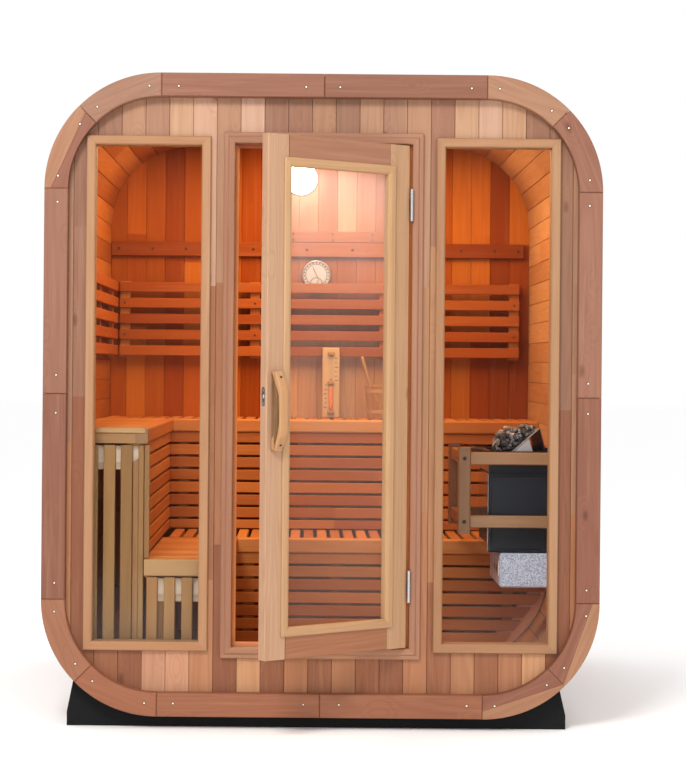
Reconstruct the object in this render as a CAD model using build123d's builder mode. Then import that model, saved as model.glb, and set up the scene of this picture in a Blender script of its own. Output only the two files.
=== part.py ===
"""Barrel sauna of rounded-square section: stave barrel on two cradles, boarded ends,
two fixed windows, a glazed door that stands ajar, and the slatted room inside it.
Millimetres, +Z up, +X to the right seen from the front, +Y from the front to the back."""

import math
import os

from build123d import *

os.makedirs("parts", exist_ok=True)

# ---------------------------------------------------------------- driving sizes
half_width = 900.0  # trim ring, outside
ring_bottom = 40.0
ring_top = 2115.0
ring_radius = 375.0  # outside corner of the ring
ring_wide = 76.0
ring_deep = 40.0
length = 1850.0  # front of the front ring to the back of the rear ring
stave = 45.0  # stave thickness
stave_inset = 3.0  # the ring stands this far proud of the staves
corner_staves = 7
wall = 42.0  # end walls
hair = 0.6  # open joint between boards

inner_half = half_width - stave_inset - stave  # 852
floor_z = ring_bottom + stave_inset + stave  # 88
ceiling_z = ring_top - stave_inset - stave  # 2067
inner_radius = ring_radius - stave_inset - stave  # 327
corner_x = half_width - ring_radius  # 525
corner_low = ring_bottom + ring_radius  # 415
corner_high = ring_top - ring_radius  # 1740
mid_z = (ring_bottom + ring_top) / 2

wall_front = ring_deep  # front face of the front wall
wall_back = wall_front + wall
rear_in = length - ring_deep - wall  # inner face of the back wall
rear_out = length - ring_deep

# doorway and door
door_open = 37.0  # degrees, as it stands
opening_half = 287.0
opening_low, opening_high = 262.0, 1892.0
casing_wide, casing_low = 36.0, 36.0
casing_front = 22.0
jamb = 18.0
gap = 5.0
leaf_half = opening_half - gap
leaf_low, leaf_high = opening_low + gap, opening_high - gap
leaf_front, leaf_back = 22.0, 56.0
stile_wide, rail_wide = 80.0, 88.0
hinge_x, hinge_y = 284.5, 14.5
knuckle_r, pin_r, pin_fit = 6.0, 3.0, 0.05
hinge_high = 103.0
hinge_levels = (464.0, 1695.0)

# windows
win_in, win_out = 365.0, 767.0
win_low, win_high = 249.0, 1914.0
win_member, win_proud = 30.0, 16.0

# the row's origin is on the ground, in the middle of the footprint with the door as it stands
y_shift = -760.0


# ---------------------------------------------------------------- small helpers
def slab(x0, x1, y0, y1, z0, z1, mode=Mode.ADD):
    with Locations(((x0 + x1) / 2, (y0 + y1) / 2 + y_shift, (z0 + z1) / 2)):
        Box(x1 - x0, y1 - y0, z1 - z0, mode=mode)


def slabs(middles, dx, dy, dz):
    with Locations(*[(x, y + y_shift, z) for x, y, z in middles]):
        Box(dx, dy, dz)


def facing(y):
    """Sketch plane seen from the front: local x is X, local y is Z; extrude by a minus goes back."""
    return Plane(origin=(0, y + y_shift, 0), x_dir=(1, 0, 0), z_dir=(0, -1, 0))


def sector(cx, cz, r0, r1, a0, a1):
    with BuildLine() as rim:
        outer = CenterArc((cx, cz), r1, a0, a1 - a0)
        a = math.radians(a1)
        Line(outer @ 1, (cx + r0 * math.cos(a), cz + r0 * math.sin(a)))
        inner = CenterArc((cx, cz), r0, a0, a1 - a0)
        Line(inner @ 0, outer @ 0)
    make_face(rim.edges())


def outline(points):
    Polygon(*points, align=None)


def mitred(x0, x1, z0, z1, wx, wz, joint=0.25):
    """Four mitred board outlines round a rectangle, the outside given."""
    j = joint
    outline([(x0 + j, z1), (x1 - j, z1), (x1 - wx - j, z1 - wz), (x0 + wx + j, z1 - wz)])
    outline([(x0 + j, z0), (x1 - j, z0), (x1 - wx - j, z0 + wz), (x0 + wx + j, z0 + wz)])
    outline([(x0, z0 + j), (x0, z1 - j), (x0 + wx, z1 - wz - j), (x0 + wx, z0 + wz + j)])
    outline([(x1, z0 + j), (x1, z1 - j), (x1 - wx, z1 - wz - j), (x1 - wx, z0 + wz + j)])


def room_outline(inset):
    with Locations((0, mid_z)):
        RectangleRounded(
            2 * (inner_half - inset), ceiling_z - floor_z - 2 * inset, inner_radius - inset
        )


def save(part, name):
    part.label = name
    export_step(part, f"parts/{name}.step")


# the clear inside of the barrel, used to trim what follows its curve
with BuildPart() as room:
    with BuildSketch(facing(wall_back)):
        room_outline(1.0)
    extrude(amount=-(rear_in - wall_back))

# ---------------------------------------------------------------- barrel of staves
flat_h = 2 * corner_x
with BuildPart() as floor_staves:
    slab(-corner_x + 0.3, corner_x - 0.3, wall_front, rear_out, floor_z - stave, floor_z)
save(floor_staves.part, "floor_staves")

with BuildPart() as roof_staves:
    slab(-corner_x + 0.3, corner_x - 0.3, wall_front, rear_out, ceiling_z, ceiling_z + stave)
save(roof_staves.part, "roof_staves")

with BuildPart() as left_wall_staves:
    slab(-inner_half - stave, -inner_half, wall_front, rear_out, corner_low + 0.3, corner_high - 0.3)
save(left_wall_staves.part, "left_wall_staves")

with BuildPart() as right_wall_staves:
    slab(inner_half, inner_half + stave, wall_front, rear_out, corner_low + 0.3, corner_high - 0.3)
save(right_wall_staves.part, "right_wall_staves")


def corner_sketch(cx, cz, start):
    """Flat-faced staves round a quarter turn, each a plain wedge with a hairline joint."""
    step = 90.0 / corner_staves
    half = math.radians(step / 2)
    slack = 0.04
    r_in = inner_radius / math.cos(half)
    r_out = (inner_radius + stave) / math.cos(half)
    for k in range(corner_staves):
        a0 = math.radians(start + k * step + slack)
        a1 = math.radians(start + (k + 1) * step - slack)
        outline(
            [
                (cx + r * math.cos(a), cz + r * math.sin(a))
                for r, a in ((r_in, a0), (r_out, a0), (r_out, a1), (r_in, a1))
            ]
        )


with BuildPart() as upper_left_corner_staves:
    with BuildSketch(facing(wall_front)):
        corner_sketch(-corner_x, corner_high, 90)
    extrude(amount=-(rear_out - wall_front))
save(upper_left_corner_staves.part, "upper_left_corner_staves")

with BuildPart() as upper_right_corner_staves:
    with BuildSketch(facing(wall_front)):
        corner_sketch(corner_x, corner_high, 0)
    extrude(amount=-(rear_out - wall_front))
save(upper_right_corner_staves.part, "upper_right_corner_staves")

with BuildPart() as lower_left_corner_staves:
    with BuildSketch(facing(wall_front)):
        corner_sketch(-corner_x, corner_low, 180)
    extrude(amount=-(rear_out - wall_front))
save(lower_left_corner_staves.part, "lower_left_corner_staves")

with BuildPart() as lower_right_corner_staves:
    with BuildSketch(facing(wall_front)):
        corner_sketch(corner_x, corner_low, 270)
    extrude(amount=-(rear_out - wall_front))
save(lower_right_corner_staves.part, "lower_right_corner_staves")


# ---------------------------------------------------------------- trim rings
def ring_boards():
    h = hair / 2
    for sx in (-1, 1):
        for z0, z1 in ((ring_top - ring_wide, ring_top), (ring_bottom, ring_bottom + ring_wide)):
            xs = sorted((sx * h, sx * (corner_x - h)))
            outline([(xs[0], z0), (xs[1], z0), (xs[1], z1), (xs[0], z1)])
        x0, x1 = sorted((sx * (half_width - ring_wide), sx * half_width))
        outline([(x0, corner_low + h), (x1, corner_low + h), (x1, mid_z - h), (x0, mid_z - h)])
        outline([(x0, mid_z + h), (x1, mid_z + h), (x1, corner_high - h), (x0, corner_high - h)])


def ring_corners():
    slack = math.degrees(hair / 2 / (ring_radius - ring_wide))
    for cx, cz, start in (
        (corner_x, corner_high, 0),
        (-corner_x, corner_high, 90),
        (-corner_x, corner_low, 180),
        (corner_x, corner_low, 270),
    ):
        for a in (start, start + 45):
            sector(cx, cz, ring_radius - ring_wide, ring_radius, a + slack, a + 45 - slack)


with BuildPart() as front_trim_boards:
    with BuildSketch(facing(0)):
        ring_boards()
    extrude(amount=-ring_deep)
save(front_trim_boards.part, "front_trim_boards")

with BuildPart() as front_trim_corners:
    with BuildSketch(facing(0)):
        ring_corners()
    extrude(amount=-ring_deep)
save(front_trim_corners.part, "front_trim_corners")

with BuildPart() as rear_trim_boards:
    with BuildSketch(facing(rear_out)):
        ring_boards()
    extrude(amount=-ring_deep)
save(rear_trim_boards.part, "rear_trim_boards")

with BuildPart() as rear_trim_corners:
    with BuildSketch(facing(rear_out)):
        ring_corners()
    extrude(amount=-ring_deep)
save(rear_trim_corners.part, "rear_trim_corners")


# ---------------------------------------------------------------- cradles
cradle_left, cradle_right, cradle_side, cradle_deep = 820.0, 800.0, 45.0, 95.0
cradle_lean = 22.0  # each end leans in by this much from its foot to its tip
cradle_top = ring_bottom + stave_inset
front_cradle_y, rear_cradle_y = 60.0, length - 60.0 - cradle_deep


def cradle_sketch():
    r = ring_radius
    left_x, right_x = cradle_left - cradle_lean, cradle_right - cradle_lean
    left_z = corner_low - math.sqrt(r * r - (left_x - corner_x) ** 2)
    right_z = corner_low - math.sqrt(r * r - (right_x - corner_x) ** 2)
    with BuildLine() as rim:
        Polyline(
            (-corner_x, cradle_top),
            (corner_x, cradle_top),
            (corner_x, corner_low - r),
        )
        a = math.degrees(math.atan2(right_z - corner_low, right_x - corner_x))
        right = CenterArc((corner_x, corner_low), r, 270, a + 90)
        b = 180 - math.degrees(math.atan2(left_z - corner_low, left_x - corner_x))
        Polyline(
            right @ 1,
            (cradle_right, cradle_side),
            (cradle_right, 0),
            (-cradle_left, 0),
            (-cradle_left, cradle_side),
            (-left_x, left_z),
        )
        CenterArc((-corner_x, corner_low), r, b, 270 - b)
        Line((-corner_x, corner_low - r), (-corner_x, cradle_top))
    make_face(rim.edges())


with BuildPart() as front_cradle:
    with BuildSketch(facing(front_cradle_y)):
        cradle_sketch()
    extrude(amount=-cradle_deep)
save(front_cradle.part, "front_cradle")

with BuildPart() as rear_cradle:
    with BuildSketch(facing(rear_cradle_y)):
        cradle_sketch()
    extrude(amount=-cradle_deep)
save(rear_cradle.part, "rear_cradle")

# ---------------------------------------------------------------- end walls
win_hole = 20.0  # the hole in the wall is this far inside the frame's outline
hole_in, hole_out = win_in + win_hole, win_out - win_hole
hole_low, hole_high = win_low + win_hole, win_high - win_hole
door_half = opening_half + jamb
door_low, door_high = opening_low - jamb, opening_high + jamb
seam = 0.2


def wall_side(s):
    """Four plain pieces round the window hole, on side s, before the barrel's curve trims them."""
    for x0, x1, z0, z1 in (
        (hole_out, inner_half + 5, hole_low, hole_high),
        (door_half + seam, hole_in, hole_low, hole_high),
        (door_half + seam, inner_half + 5, hole_high + seam, ceiling_z + 5),
        (door_half + seam, inner_half + 5, floor_z - 5, hole_low - seam),
    ):
        a, b = sorted((s * x0, s * x1))
        slab(a, b, wall_front, wall_back, z0, z1)


with BuildPart() as wall_plate:
    with BuildSketch(facing(wall_front)):
        room_outline(0.4)
    extrude(amount=-wall)

with BuildPart() as front_wall_left:
    wall_side(-1)
    add(wall_plate.part, mode=Mode.INTERSECT)
save(front_wall_left.part, "front_wall_left")

with BuildPart() as front_wall_right:
    wall_side(1)
    add(wall_plate.part, mode=Mode.INTERSECT)
save(front_wall_right.part, "front_wall_right")

with BuildPart() as front_wall_over_door:
    slab(-door_half, door_half, wall_front, wall_back, door_high, ceiling_z - 0.4)
save(front_wall_over_door.part, "front_wall_over_door")

with BuildPart() as front_wall_under_door:
    slab(-door_half, door_half, wall_front, wall_back, floor_z + 0.4, door_low)
save(front_wall_under_door.part, "front_wall_under_door")

with BuildPart() as back_wall:
    with BuildSketch(facing(rear_in)):
        room_outline(0.4)
    extrude(amount=-wall)
save(back_wall.part, "back_wall")


# ---------------------------------------------------------------- windows
pane = 8.0
pane_front = wall_front + 1.0


def frame_front(s):
    x0, x1 = sorted((s * win_in, s * win_out))
    mitred(x0, x1, win_low, win_high, win_member, win_member)


def frame_stops(s):
    a0, a1 = sorted((s * (hole_in + 0.3), s * (hole_out - 0.3)))
    mitred(a0, a1, hole_low + 0.3, hole_high - 0.3, 10.0, 10.0)


stops_front = pane_front + pane + 1.0


def window_pane(s):
    x0, x1 = sorted((s * (hole_in + 1), s * (hole_out - 1)))
    slab(x0, x1, pane_front, pane_front + pane, hole_low + 1, hole_high - 1)


with BuildPart() as left_window_frame:
    with BuildSketch(facing(wall_front - win_proud)):
        frame_front(-1)
    extrude(amount=-win_proud)
    with BuildSketch(facing(stops_front)):
        frame_stops(-1)
    extrude(amount=-(wall_back - stops_front))
save(left_window_frame.part, "left_window_frame")

with BuildPart() as left_window_pane:
    window_pane(-1)
save(left_window_pane.part, "left_window_pane")

with BuildPart() as right_window_frame:
    with BuildSketch(facing(wall_front - win_proud)):
        frame_front(1)
    extrude(amount=-win_proud)
    with BuildSketch(facing(stops_front)):
        frame_stops(1)
    extrude(amount=-(wall_back - stops_front))
save(right_window_frame.part, "right_window_frame")

with BuildPart() as right_window_pane:
    window_pane(1)
save(right_window_pane.part, "right_window_pane")

# ---------------------------------------------------------------- doorway
casing_half = opening_half + casing_wide
casing_bottom, casing_top = opening_low - casing_low, opening_high + casing_wide
with BuildPart() as door_casing:
    with BuildSketch(facing(casing_front + 5)):
        mitred(-casing_half, casing_half, casing_bottom, casing_top, casing_wide, casing_wide)
    extrude(amount=-(wall_front - casing_front - 5))
    with BuildSketch(facing(casing_front)):
        mitred(
            -opening_half - 20, opening_half + 20, opening_low - 20, opening_high + 20, 20.0, 20.0
        )
    extrude(amount=-5)
save(door_casing.part, "door_casing")

stop_wide, stop_front = 12.0, leaf_back + 6.0
with BuildPart() as door_jamb:
    with BuildSketch(facing(wall_front + 0.3)):
        mitred(
            -door_half + 0.3, door_half - 0.3, door_low + 0.3, door_high - 0.3, jamb - 0.3, jamb - 0.3
        )
    extrude(amount=-(wall - 0.3))
    with BuildSketch(facing(stop_front)):
        mitred(
            -opening_half + 0.3,
            opening_half - 0.3,
            opening_low + 0.3,
            opening_high - 0.3,
            stop_wide,
            stop_wide,
        )
    extrude(amount=-(wall_back - stop_front))
save(door_jamb.part, "door_jamb")


def knuckle(z0, z1, r):
    with Locations((hinge_x, hinge_y + y_shift, (z0 + z1) / 2)):
        Cylinder(r, z1 - z0)


third = hinge_high / 3
with BuildPart() as frame_hinges:
    for zc in hinge_levels:
        low, high = zc - hinge_high / 2, zc + hinge_high / 2
        knuckle(low, low + third - 0.4, knuckle_r)
        knuckle(high - third + 0.4, high, knuckle_r)
        knuckle(low, high, pin_r)
        for z0, z1 in ((low, low + third - 0.4), (high - third + 0.4, high)):
            slab(opening_half - 1.5, opening_half - 0.3, hinge_y, wall_front + 8, z0, z1)
save(frame_hinges.part, "frame_hinges")

# ---------------------------------------------------------------- door leaf, drawn shut and then swung
hinge_line = Axis((hinge_x, hinge_y + y_shift, 0), (0, 0, 1))
glass_half = leaf_half - 90.0
glass_low, glass_high = leaf_low + 98.0, leaf_high - 98.0
stile_in = leaf_half - stile_wide
latch_z, latch_high, latch_wide, latch_thick = 1078.0, 63.0, 20.0, 2.0
leaf_mid = (leaf_front + leaf_back) / 2

with BuildPart() as door_stiles:
    slab(-leaf_half, -stile_in, leaf_front, leaf_back, leaf_low, leaf_high)
    slab(
        -leaf_half,
        -leaf_half + latch_thick,
        leaf_mid - latch_wide / 2,
        leaf_mid + latch_wide / 2,
        latch_z - latch_high / 2,
        latch_z + latch_high / 2,
        mode=Mode.SUBTRACT,
    )
    slab(stile_in, leaf_half, leaf_front, leaf_back, leaf_low, leaf_high)
save(door_stiles.part.rotate(hinge_line, door_open), "door_stiles")

with BuildPart() as door_rails:
    slab(-stile_in, stile_in, leaf_front, leaf_back, leaf_low, leaf_low + rail_wide)
    slab(-stile_in, stile_in, leaf_front, leaf_back, leaf_high - rail_wide, leaf_high)
save(door_rails.part.rotate(hinge_line, door_open), "door_rails")

glass_y0, glass_y1 = leaf_mid - 4.0, leaf_mid + 4.0
with BuildPart() as door_pane:
    slab(
        -stile_in + 1.5,
        stile_in - 1.5,
        glass_y0,
        glass_y1,
        leaf_low + rail_wide + 1.5,
        leaf_high - rail_wide - 1.5,
    )
save(door_pane.part.rotate(hinge_line, door_open), "door_pane")

bead_wide, bead_proud = 29.0, 7.0
with BuildPart() as door_bead:
    with BuildSketch(facing(leaf_front - bead_proud)):
        mitred(
            -glass_half - bead_wide,
            glass_half + bead_wide,
            glass_low - bead_wide,
            glass_high + bead_wide,
            bead_wide,
            bead_wide,
        )
    extrude(amount=-bead_proud)
    with BuildSketch(facing(leaf_front)):
        mitred(
            -stile_in + 0.3,
            stile_in - 0.3,
            leaf_low + rail_wide + 0.3,
            leaf_high - rail_wide - 0.3,
            stile_in - 0.3 - glass_half,
            glass_low - leaf_low - rail_wide - 0.3,
        )
    extrude(amount=-(glass_y0 - leaf_front - 0.3))
    with BuildSketch(facing(glass_y1 + 0.3)):
        mitred(
            -stile_in + 0.3,
            stile_in - 0.3,
            leaf_low + rail_wide + 0.3,
            leaf_high - rail_wide - 0.3,
            stile_in - 0.3 - glass_half,
            glass_low - leaf_low - rail_wide - 0.3,
        )
    extrude(amount=-(leaf_back - glass_y1 - 0.3))
save(door_bead.part.rotate(hinge_line, door_open), "door_bead")

handle_z, handle_long, handle_wide = 1034.0, 245.0, 31.0
handle_x = -leaf_half + 16.6 + handle_wide / 2
handle_out, handle_in = 51.0, 39.0  # the bar's front and back, off the leaf


def handle_side():
    """Half the bow's side view, upwards from its middle: distance off the leaf, and height."""
    h = handle_long / 2
    front = [(handle_out, 0.0), (handle_out, h - 60), (handle_out - 5, h - 44), (handle_out - 27, h - 6), (handle_out - 29, h)]
    back = [(0.0, h), (0.0, h - 36), (21.0, h - 59), (35.0, h - 68), (handle_in, h - 80), (handle_in, 0.0)]
    return front + back


with BuildPart() as door_handle:
    upper = handle_side()
    lower = [(d, -z) for d, z in reversed(upper)]
    with BuildSketch(
        Plane(
            origin=(handle_x - handle_wide / 2, leaf_front + y_shift, handle_z),
            x_dir=(0, -1, 0),
            z_dir=(1, 0, 0),
        )
    ):
        outline([(d, -z) for d, z in upper[:-1]] + [(d, -z) for d, z in lower[1:-1]])
    extrude(amount=handle_wide)
save(door_handle.part.rotate(hinge_line, door_open), "door_handle")

with BuildPart() as door_latch:
    slab(
        -leaf_half,
        -leaf_half + latch_thick,
        leaf_mid - latch_wide / 2 + 0.2,
        leaf_mid + latch_wide / 2 - 0.2,
        latch_z - latch_high / 2 + 0.2,
        latch_z + latch_high / 2 - 0.2,
    )
save(door_latch.part.rotate(hinge_line, door_open), "door_latch")

with BuildPart() as door_hinges:
    for zc in hinge_levels:
        low = zc - hinge_high / 2
        z0, z1 = low + third + 0.1, low + 2 * third - 0.1
        knuckle(z0, z1, knuckle_r)
        slab(leaf_half + 0.3, leaf_half + 1.5, hinge_y, leaf_front + 28, z0, z1)
    for zc in hinge_levels:
        with Locations((hinge_x, hinge_y + y_shift, zc)):
            Cylinder(pin_r + pin_fit, hinge_high, mode=Mode.SUBTRACT)
save(door_hinges.part.rotate(hinge_line, door_open), "door_hinges")

# ---------------------------------------------------------------- benches
slat, slit, seat = 37.0, 13.0, 28.0
nosing = 30.0
upper_top, upper_nose_low = 966.0, 915.0
upper_front, upper_side = 1368.0, -568.0
upper_end = 110.0
lower_top, lower_nose_low = 537.0, 482.0
lower_front, lower_side = 975.0, -300.0
lower_end = 100.0
reach = inner_half - 2.0
skirt = 18.0
skirt_back = 10.0  # the skirts stand this far behind the nosing's face


def row(a, b, pitch):
    n = int((b - a) // pitch)
    start = (a + b) / 2 - (n - 1) * pitch / 2
    return [start + k * pitch for k in range(n)]


with BuildPart() as upper_bench_back:
    slabs(
        [(x, (upper_front + nosing + rear_in - 2) / 2, upper_top - seat / 2) for x in row(-reach, reach, slat + slit)],
        slat,
        rear_in - 2 - upper_front - nosing,
        seat,
    )
    slab(upper_side + 0.5, reach, upper_front, upper_front + nosing, upper_nose_low, upper_top)
    slab(-reach, reach, upper_front + nosing, upper_front + nosing + 40, upper_top - seat - 34, upper_top - seat)
    slab(-reach, reach, rear_in - 42, rear_in - 2, upper_top - seat - 34, upper_top - seat)
save(upper_bench_back.part, "upper_bench_back")

with BuildPart() as upper_bench_left:
    y0, y1 = upper_end + nosing, upper_front + nosing - 1
    x0, x1 = -reach, upper_side - nosing
    slabs(
        [((x0 + x1) / 2, y, upper_top - seat / 2) for y in row(y0, y1, slat + slit)],
        x1 - x0,
        slat,
        seat,
    )
    slab(x1, upper_side, upper_end, y1, upper_nose_low, upper_top)
    slab(x0, x1, upper_end, y0, upper_nose_low, upper_top)
    slab(x0, x0 + 40, y0, y1, upper_top - seat - 34, upper_top - seat)
    slab(x1 - 40, x1, y0, y1, upper_top - seat - 34, upper_top - seat)
save(upper_bench_left.part, "upper_bench_left")

lower_in = upper_side - skirt_back + 1
with BuildPart() as lower_bench_back:
    y0, y1 = lower_front + nosing, upper_front + skirt_back - 1
    slabs(
        [(x, (y0 + y1) / 2, lower_top - seat / 2) for x in row(lower_in, reach, slat + slit)],
        slat,
        y1 - y0,
        seat,
    )
    slab(lower_side + 0.5, reach, lower_front, y0, lower_nose_low, lower_top)
    slab(lower_in, reach, y0, y0 + 40, lower_top - seat - 34, lower_top - seat)
    slab(lower_in, reach, y1 - 40, y1, lower_top - seat - 34, lower_top - seat)
save(lower_bench_back.part, "lower_bench_back")

with BuildPart() as lower_bench_left:
    y0, y1 = lower_end + nosing, lower_front + nosing - 1
    x0, x1 = lower_in, lower_side - nosing
    slabs(
        [((x0 + x1) / 2, y, lower_top - seat / 2) for y in row(y0, y1, slat + slit)],
        x1 - x0,
        slat,
        seat,
    )
    slab(x1, lower_side, lower_end, y1, lower_nose_low, lower_top)
    slab(x0, x1, lower_end, y0, lower_nose_low, lower_top)
    slab(x0, x0 + 40, y0, y1, lower_top - seat - 34, lower_top - seat)
    slab(x1 - 40, x1, y0, y1, lower_top - seat - 34, lower_top - seat)
save(lower_bench_left.part, "lower_bench_left")


def levels(top, bottom, first, pitch, high):
    """The skirt's boards from the top down: one close under the nosing, then slats."""
    out = [(top - first, top)]
    z = top - first - (pitch - high)
    while z - bottom > 12:
        out.append((max(bottom, z - high), z))
        z -= pitch
    return out


upper_levels = levels(upper_nose_low - 1, lower_top + 4, 39.0, 48.6, 39.6)
lower_levels = levels(lower_nose_low - 1, floor_z + 2, 39.0, 48.2, 39.2)
batten = 24.0

with BuildPart() as upper_skirt_back:
    y0 = upper_front + skirt_back
    for z0, z1 in upper_levels:
        slab(upper_side - skirt_back + 1, reach, y0, y0 + skirt, z0, z1)
    for x in (upper_side + 40, -60, 400, reach - 30):
        slab(x - 20, x + 20, y0 + skirt, y0 + skirt + batten, lower_top + 4, upper_nose_low - 20)
save(upper_skirt_back.part, "upper_skirt_back")

with BuildPart() as upper_skirt_left:
    x1 = upper_side - skirt_back
    for z0, z1 in upper_levels:
        slab(x1 - skirt, x1, upper_end + 30, upper_front + skirt_back - 1, z0, z1)
    for y in (upper_end + 60, 740, upper_front - 40):
        slab(x1 - skirt - batten, x1 - skirt, y - 20, y + 20, lower_top + 4, upper_nose_low - 20)
save(upper_skirt_left.part, "upper_skirt_left")

with BuildPart() as skirt_closing:  # board scribed to the rounded corner, behind the sawn ends
    with BuildSketch(facing(lower_front + skirt_back + skirt)):
        outline([(585, 80), (700, 80), (861, 300), (861, 425), (838, 425), (585, 95)])
    extrude(amount=-14)
    add(room.part, mode=Mode.INTERSECT)

with BuildPart() as lower_skirt_back:
    y0 = lower_front + skirt_back
    for z0, z1 in lower_levels:
        slab(lower_side - skirt_back + 1, reach, y0, y0 + skirt, z0, z1)
    for x in (lower_side + 40, 60, 420, 700):
        slab(x - 20, x + 20, y0 + skirt, y0 + skirt + batten, floor_z + 2, lower_nose_low - 20)
    add(room.part, mode=Mode.INTERSECT)
    with BuildSketch(facing(y0 - 5)):  # ends sawn off slantwise, clear of the rounded corner
        outline([(620, 73), (861, 383.5), (900, 383.5), (900, 73)])
    extrude(amount=-(skirt + batten + 10), mode=Mode.SUBTRACT)
    add(skirt_closing.part)
save(lower_skirt_back.part, "lower_skirt_back")

with BuildPart() as lower_skirt_left:
    x1 = lower_side - skirt_back
    for z0, z1 in lower_levels:
        slab(x1 - skirt, x1, lower_end + 30, lower_front + skirt_back - 1, z0, z1)
    for y in (lower_end + 60, 560, lower_front - 40):
        slab(x1 - skirt - batten, x1 - skirt, y - 20, y + 20, floor_z + 2, lower_nose_low - 20)
save(lower_skirt_left.part, "lower_skirt_left")

upper_uprights = ((-657.0, -619.0), (-713.0, -675.0), (-770.0, -732.0), (-828.0, -789.0))
lower_uprights = ((-569.0, -533.0), (-511.5, -475.5), (-454.0, -418.0), (-396.5, -360.5), (-339.0, -303.0))
with BuildPart() as upper_end_panel:
    y0 = upper_end + 8
    z1 = upper_nose_low - 6
    slab(-579, upper_side + 6, y0, y0 + 20, lower_top + 4, z1)
    for x0, x1 in upper_uprights:
        slab(x0, x1, y0, y0 + skirt, floor_z + 2, z1)
    slab(-617, -581, y0 + 4, y0 + skirt, floor_z + 2, z1 - 48)
    slab(-inner_half + 2, -600, y0 + skirt, y0 + skirt + 14, z1 - 81, z1 - 8)
    add(room.part, mode=Mode.INTERSECT)
save(upper_end_panel.part, "upper_end_panel")

with BuildPart() as lower_end_panel:
    y0 = lower_end + 8
    z1 = lower_nose_low - 4
    for x0, x1 in lower_uprights:
        slab(x0, x1, y0, y0 + skirt, floor_z + 2, z1)
    slab(upper_side + 6, lower_side - 31, y0 + skirt, y0 + skirt + 14, z1 - 81, z1 - 8)
    slab(-536, -508, y0 + skirt, y0 + skirt + 14, floor_z + 2, z1 - 60)
    add(room.part, mode=Mode.INTERSECT)
save(lower_end_panel.part, "lower_end_panel")

# ---------------------------------------------------------------- backrests and wall rail
rest_low, rest_pitch, rest_high, rest_thick = 1213.0, 64.3, 40.0, 18.0
rest_levels = [rest_low + k * rest_pitch for k in range(5)]
rest_top = rest_levels[-1] + rest_high
rest_face = 1710.0
with BuildPart() as backrest_back:
    for z in rest_levels:
        slab(-811, 808, rest_face, rest_face + rest_thick, z, z + rest_high)
    for x in (-791, -263, 261, 788):
        slab(x - 20, x + 20, rest_face + rest_thick, rear_in, rest_low - 8, rest_top + 4)
save(backrest_back.part, "backrest_back")

with BuildPart() as backrest_left:
    for z in rest_levels:
        slab(-815 - rest_thick, -815, 180, 1693, z, z + rest_high)
    for y in (210, 700, 1180, 1660):
        slab(-inner_half, -815 - rest_thick, y - 20, y + 20, rest_low - 8, rest_top + 4)
save(backrest_left.part, "backrest_left")

with BuildPart() as wall_rail:
    slab(-849, 828, rear_in - 22, rear_in, 1619, 1677)
    slab(-200, 300, rear_in - 18, rear_in, 1678.5, 1723)
save(wall_rail.part, "wall_rail")

# ---------------------------------------------------------------- fittings on the back wall
lamp_x, lamp_z, lamp_r = -80.0, 1938.0, 66.0
with BuildPart() as wall_lamp:
    with BuildSketch(facing(rear_in)):
        with Locations((lamp_x, lamp_z)):
            Circle(lamp_r)
    extrude(amount=12)
    with BuildSketch(facing(rear_in - 12)):
        with Locations((lamp_x, lamp_z)):
            Circle(lamp_r - 8)
    extrude(amount=34, taper=22)
save(wall_lamp.part, "wall_lamp")

gauge_x, gauge_z, gauge_r = -15.0, 1547.0, 60.0
with BuildPart() as dial_gauge:
    with BuildSketch(facing(rear_in)):
        with Locations((gauge_x, gauge_z)):
            Circle(gauge_r)
    extrude(amount=24)
    with BuildSketch(facing(rear_in - 24)):
        with Locations((gauge_x, gauge_z)):
            Circle(gauge_r - 9)
    extrude(amount=-4, mode=Mode.SUBTRACT)
save(dial_gauge.part, "dial_gauge")

timer_x, timer_y = 47.0, 1688.0
with BuildPart() as sand_timer:
    slab(timer_x - 35, timer_x + 35, timer_y, timer_y + 18, upper_top, upper_top + 284)
    with Locations((timer_x, timer_y - 4 + y_shift, upper_top + 142)):
        Cylinder(9, 236)
    for z in (upper_top + 24, upper_top + 142, upper_top + 260):
        slab(timer_x - 13, timer_x + 13, timer_y - 15, timer_y, z - 7, z + 7)
save(sand_timer.part, "sand_timer")

bucket_x, bucket_y, bucket_high, bucket_top_r, bucket_base_r, bucket_wall = 280.0, 1600.0, 134.0, 100.0, 88.0, 10.0
with BuildPart() as bucket:
    with BuildSketch(Plane.XZ):
        outline(
            [
                (0, 0),
                (bucket_base_r, 0),
                (bucket_top_r, bucket_high),
                (bucket_top_r - bucket_wall, bucket_high),
                (bucket_base_r - bucket_wall + 1, 12),
                (0, 12),
            ]
        )
    revolve(axis=Axis.Z)
save(bucket.part.moved(Location((bucket_x, bucket_y + y_shift, upper_top))), "bucket")

ladle_low = Vector(230, bucket_y + y_shift, upper_top + 44)
ladle_high = Vector(169, bucket_y + y_shift, upper_top + 249)
with BuildPart() as ladle:
    lean = (ladle_high - ladle_low).normalized()
    with BuildSketch(Plane(origin=ladle_low, z_dir=lean)):
        Circle(7)
    extrude(amount=(ladle_high - ladle_low).length)
    with Locations(ladle_low - Vector(0, 0, 4)):
        Sphere(20)
save(ladle.part, "ladle")

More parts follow.
